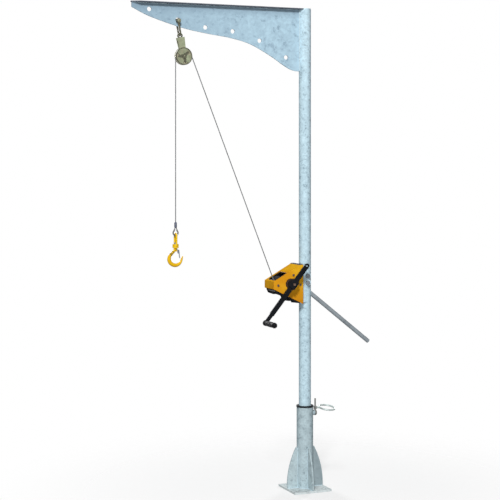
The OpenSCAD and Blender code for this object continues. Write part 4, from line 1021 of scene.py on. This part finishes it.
# The fins' painted shade: darker on their +X side, which the light from the left reaches less.
ZINC_FINS = galvanised("galvanised_fins", (0.52, 0.63, 0.66), (0.22, 0.28, 0.31), size=0.010,
                       cloud=28, painted_shade=(("X", 0.0, 0.06, 0.6),))
ZINC_HANDLE = galvanised("galvanised_handle", (0.34, 0.38, 0.41), (0.17, 0.195, 0.215),
                         size=0.009)
ZINC_WELD = galvanised("galvanised_bead", (0.58, 0.72, 0.78), (0.28, 0.37, 0.42), size=0.006,
                       cloud=60, lumps=0.8)
ZINC_ROD = galvanised("galvanised_rod", (0.56, 0.64, 0.62), (0.22, 0.26, 0.26), size=0.008,
                      cloud=30, metallic=0.2, rough=0.34, specular=0.4)
BRIGHT = plated("zinc_plate", (0.28, 0.32, 0.35), (0.13, 0.15, 0.17), rough=0.40, metallic=0.2)
SCREW = plated("dull_screws", (0.20, 0.13, 0.09), (0.09, 0.055, 0.04), rough=0.42, metallic=0.2)
LEVER = plated("lever_zinc", (0.27, 0.27, 0.255), (0.12, 0.12, 0.115), rough=0.42,
               metallic=0.15)
OLIVE = plated("olive_zinc", (0.28, 0.29, 0.20), (0.10, 0.105, 0.068), rough=0.36,
               metallic=0.25, tint=(0.21, 0.19, 0.13))
OLIVE_HEAD = plated("olive_strap", (0.36, 0.40, 0.26), (0.155, 0.17, 0.105), rough=0.36,
                    metallic=0.2, tint=(0.28, 0.27, 0.18))
OLIVE_DARK = plated("olive_pressing", (0.13, 0.13, 0.085), (0.045, 0.045, 0.03), rough=0.42,
                    metallic=0.1)
DARK = plated("oiled_steel", (0.085, 0.085, 0.095), (0.028, 0.029, 0.034), rough=0.40,
              metallic=0.25, specular=0.2)
SHEAVE_STEEL = plated("sheave_steel", (0.40, 0.38, 0.27), (0.18, 0.17, 0.11), rough=0.36,
                      metallic=0.3)
FERRULE = plated("ferrule_metal", (0.12, 0.135, 0.19), (0.05, 0.058, 0.085), rough=0.42,
                 metallic=0.3)
THIMBLE = plated("thimble_zinc", (0.22, 0.215, 0.20), (0.09, 0.088, 0.08), rough=0.38,
                 metallic=0.3)
LATCH = plated("latch_zinc", (0.34, 0.37, 0.43), (0.15, 0.165, 0.20), rough=0.36, metallic=0.3)
BRONZE = plated("bearing_bronze", (0.52, 0.36, 0.13), (0.27, 0.17, 0.06), rough=0.34,
                metallic=0.6)
# The cover's enamel takes painted shade, a darker orange towards its bottom.
YELLOW = enamel("yellow_enamel", (0.86, 0.47, 0.020), (0.72, 0.31, 0.012), (0.20, 0.20, 0.21),
                specular=0.0, low=(1.05, 0.93, (0.50, 0.15, 0.008)))
HOOK_YELLOW = enamel("hook_enamel", (0.86, 0.55, 0.012), (0.66, 0.36, 0.010),
                     (0.25, 0.25, 0.25), rough=0.34)
BAND = enamel("hook_band", (0.30, 0.20, 0.012), (0.20, 0.13, 0.012), (0.30, 0.22, 0.05),
              rough=0.45)
BLACK = enamel("black_enamel", (0.007, 0.008, 0.010), (0.013, 0.014, 0.017),
               (0.07, 0.07, 0.08), rough=0.55, wear=0.25, specular=0.04)
HOUSING = enamel("housing_enamel", (0.055, 0.030, 0.022), (0.035, 0.022, 0.018),
                 (0.14, 0.12, 0.11), rough=0.4, specular=0.1)
GREY_TRIM = moulded("grey_seal", (0.075, 0.078, 0.09), (0.13, 0.135, 0.15), rough=0.5)
POLYMER = moulded("black_polymer", (0.008, 0.010, 0.013), (0.020, 0.023, 0.028), rough=0.42)
GRIP = moulded("grip_moulded", (0.006, 0.006, 0.008), (0.016, 0.016, 0.019), rough=0.52,
               grain=700)
LINING = moulded("brake_lining", (0.075, 0.045, 0.032), (0.12, 0.08, 0.06), rough=0.75,
                 grain=500)

# The CAD nodes that each material goes on
FINISHES = [
    (ZINC, ["column_tube", "column_cap", "winch_bracket"]),
    (ZINC_WEB, ["jib_web"]),
    (ZINC_FLANGE_SHADED, ["jib_flange"]),
    (ZINC_PLATE_LIT, ["base_plate"]),
    (ZINC_FOOT, ["socket_tube", "lock_boss"]),
    (ZINC_FINS, ["base_fins"]),
    (ZINC_HANDLE, ["slewing_handle"]),
    (ZINC_ROD, ["lock_ring"]),
    (LEVER, ["lock_bar", "lock_screw"]),
    (BRIGHT, ["bracket_bolts", "mounting_screws", "pawl_spring"]),
    (SCREW, ["cover_screws", "arm_screw"]),
    (OLIVE, ["shackle_pin"]),
    (OLIVE_DARK, ["shackle_bow", "block_eye", "sheave_axle"]),
    (OLIVE_HEAD, ["block_head", "block_cheeks"]),
    (SHEAVE_STEEL, ["sheave"]),
    (DARK, ["drum", "drum_shaft", "drum_gear", "ratchet_wheel", "rope_anchor", "pawl",
            "pawl_pin", "crank_shaft", "grip_spindle", "latch_pin", "winch_ties"]),
    (WIRE, ["drum_rope", "rope_lead", "rope_fall", "rope_loop"]),
    (FERRULE, ["ferrule"]),
    (THIMBLE, ["thimble"]),
    (LATCH, ["hook_latch"]),
    (YELLOW, ["winch_cover"]),
    (HOOK_YELLOW, ["hook_bail", "hook"]),
    (BLACK, ["winch_back", "winch_side_near", "winch_side_far", "crank_hub", "crank_arm"]),
    (HOUSING, ["crank_housing"]),
    (BRONZE, ["shaft_bushes", "sheave_bush"]),
    (LINING, ["brake_disc"]),
    (POLYMER, ["upper_bush", "lower_bush", "thrust_disc"]),
    (GRIP, ["crank_grip"]),
]
for material, names in FINISHES:
    for name in names:
        slots = NODES[name].material_slots
        if slots:
            for held in slots:
                held.material = material
        else:
            NODES[name].data.materials.append(material)

make_welds(ZINC_WELD)
make_hook(HOOK_YELLOW, BRIGHT, BAND)
make_grip(GRIP)
make_cover_details(POLYMER, GREY_TRIM)
make_fasteners(BRIGHT, OLIVE)
make_block_details(OLIVE, OLIVE_DARK)
make_stage()
make_light()
bpy.context.scene.view_settings.view_transform = "Standard"
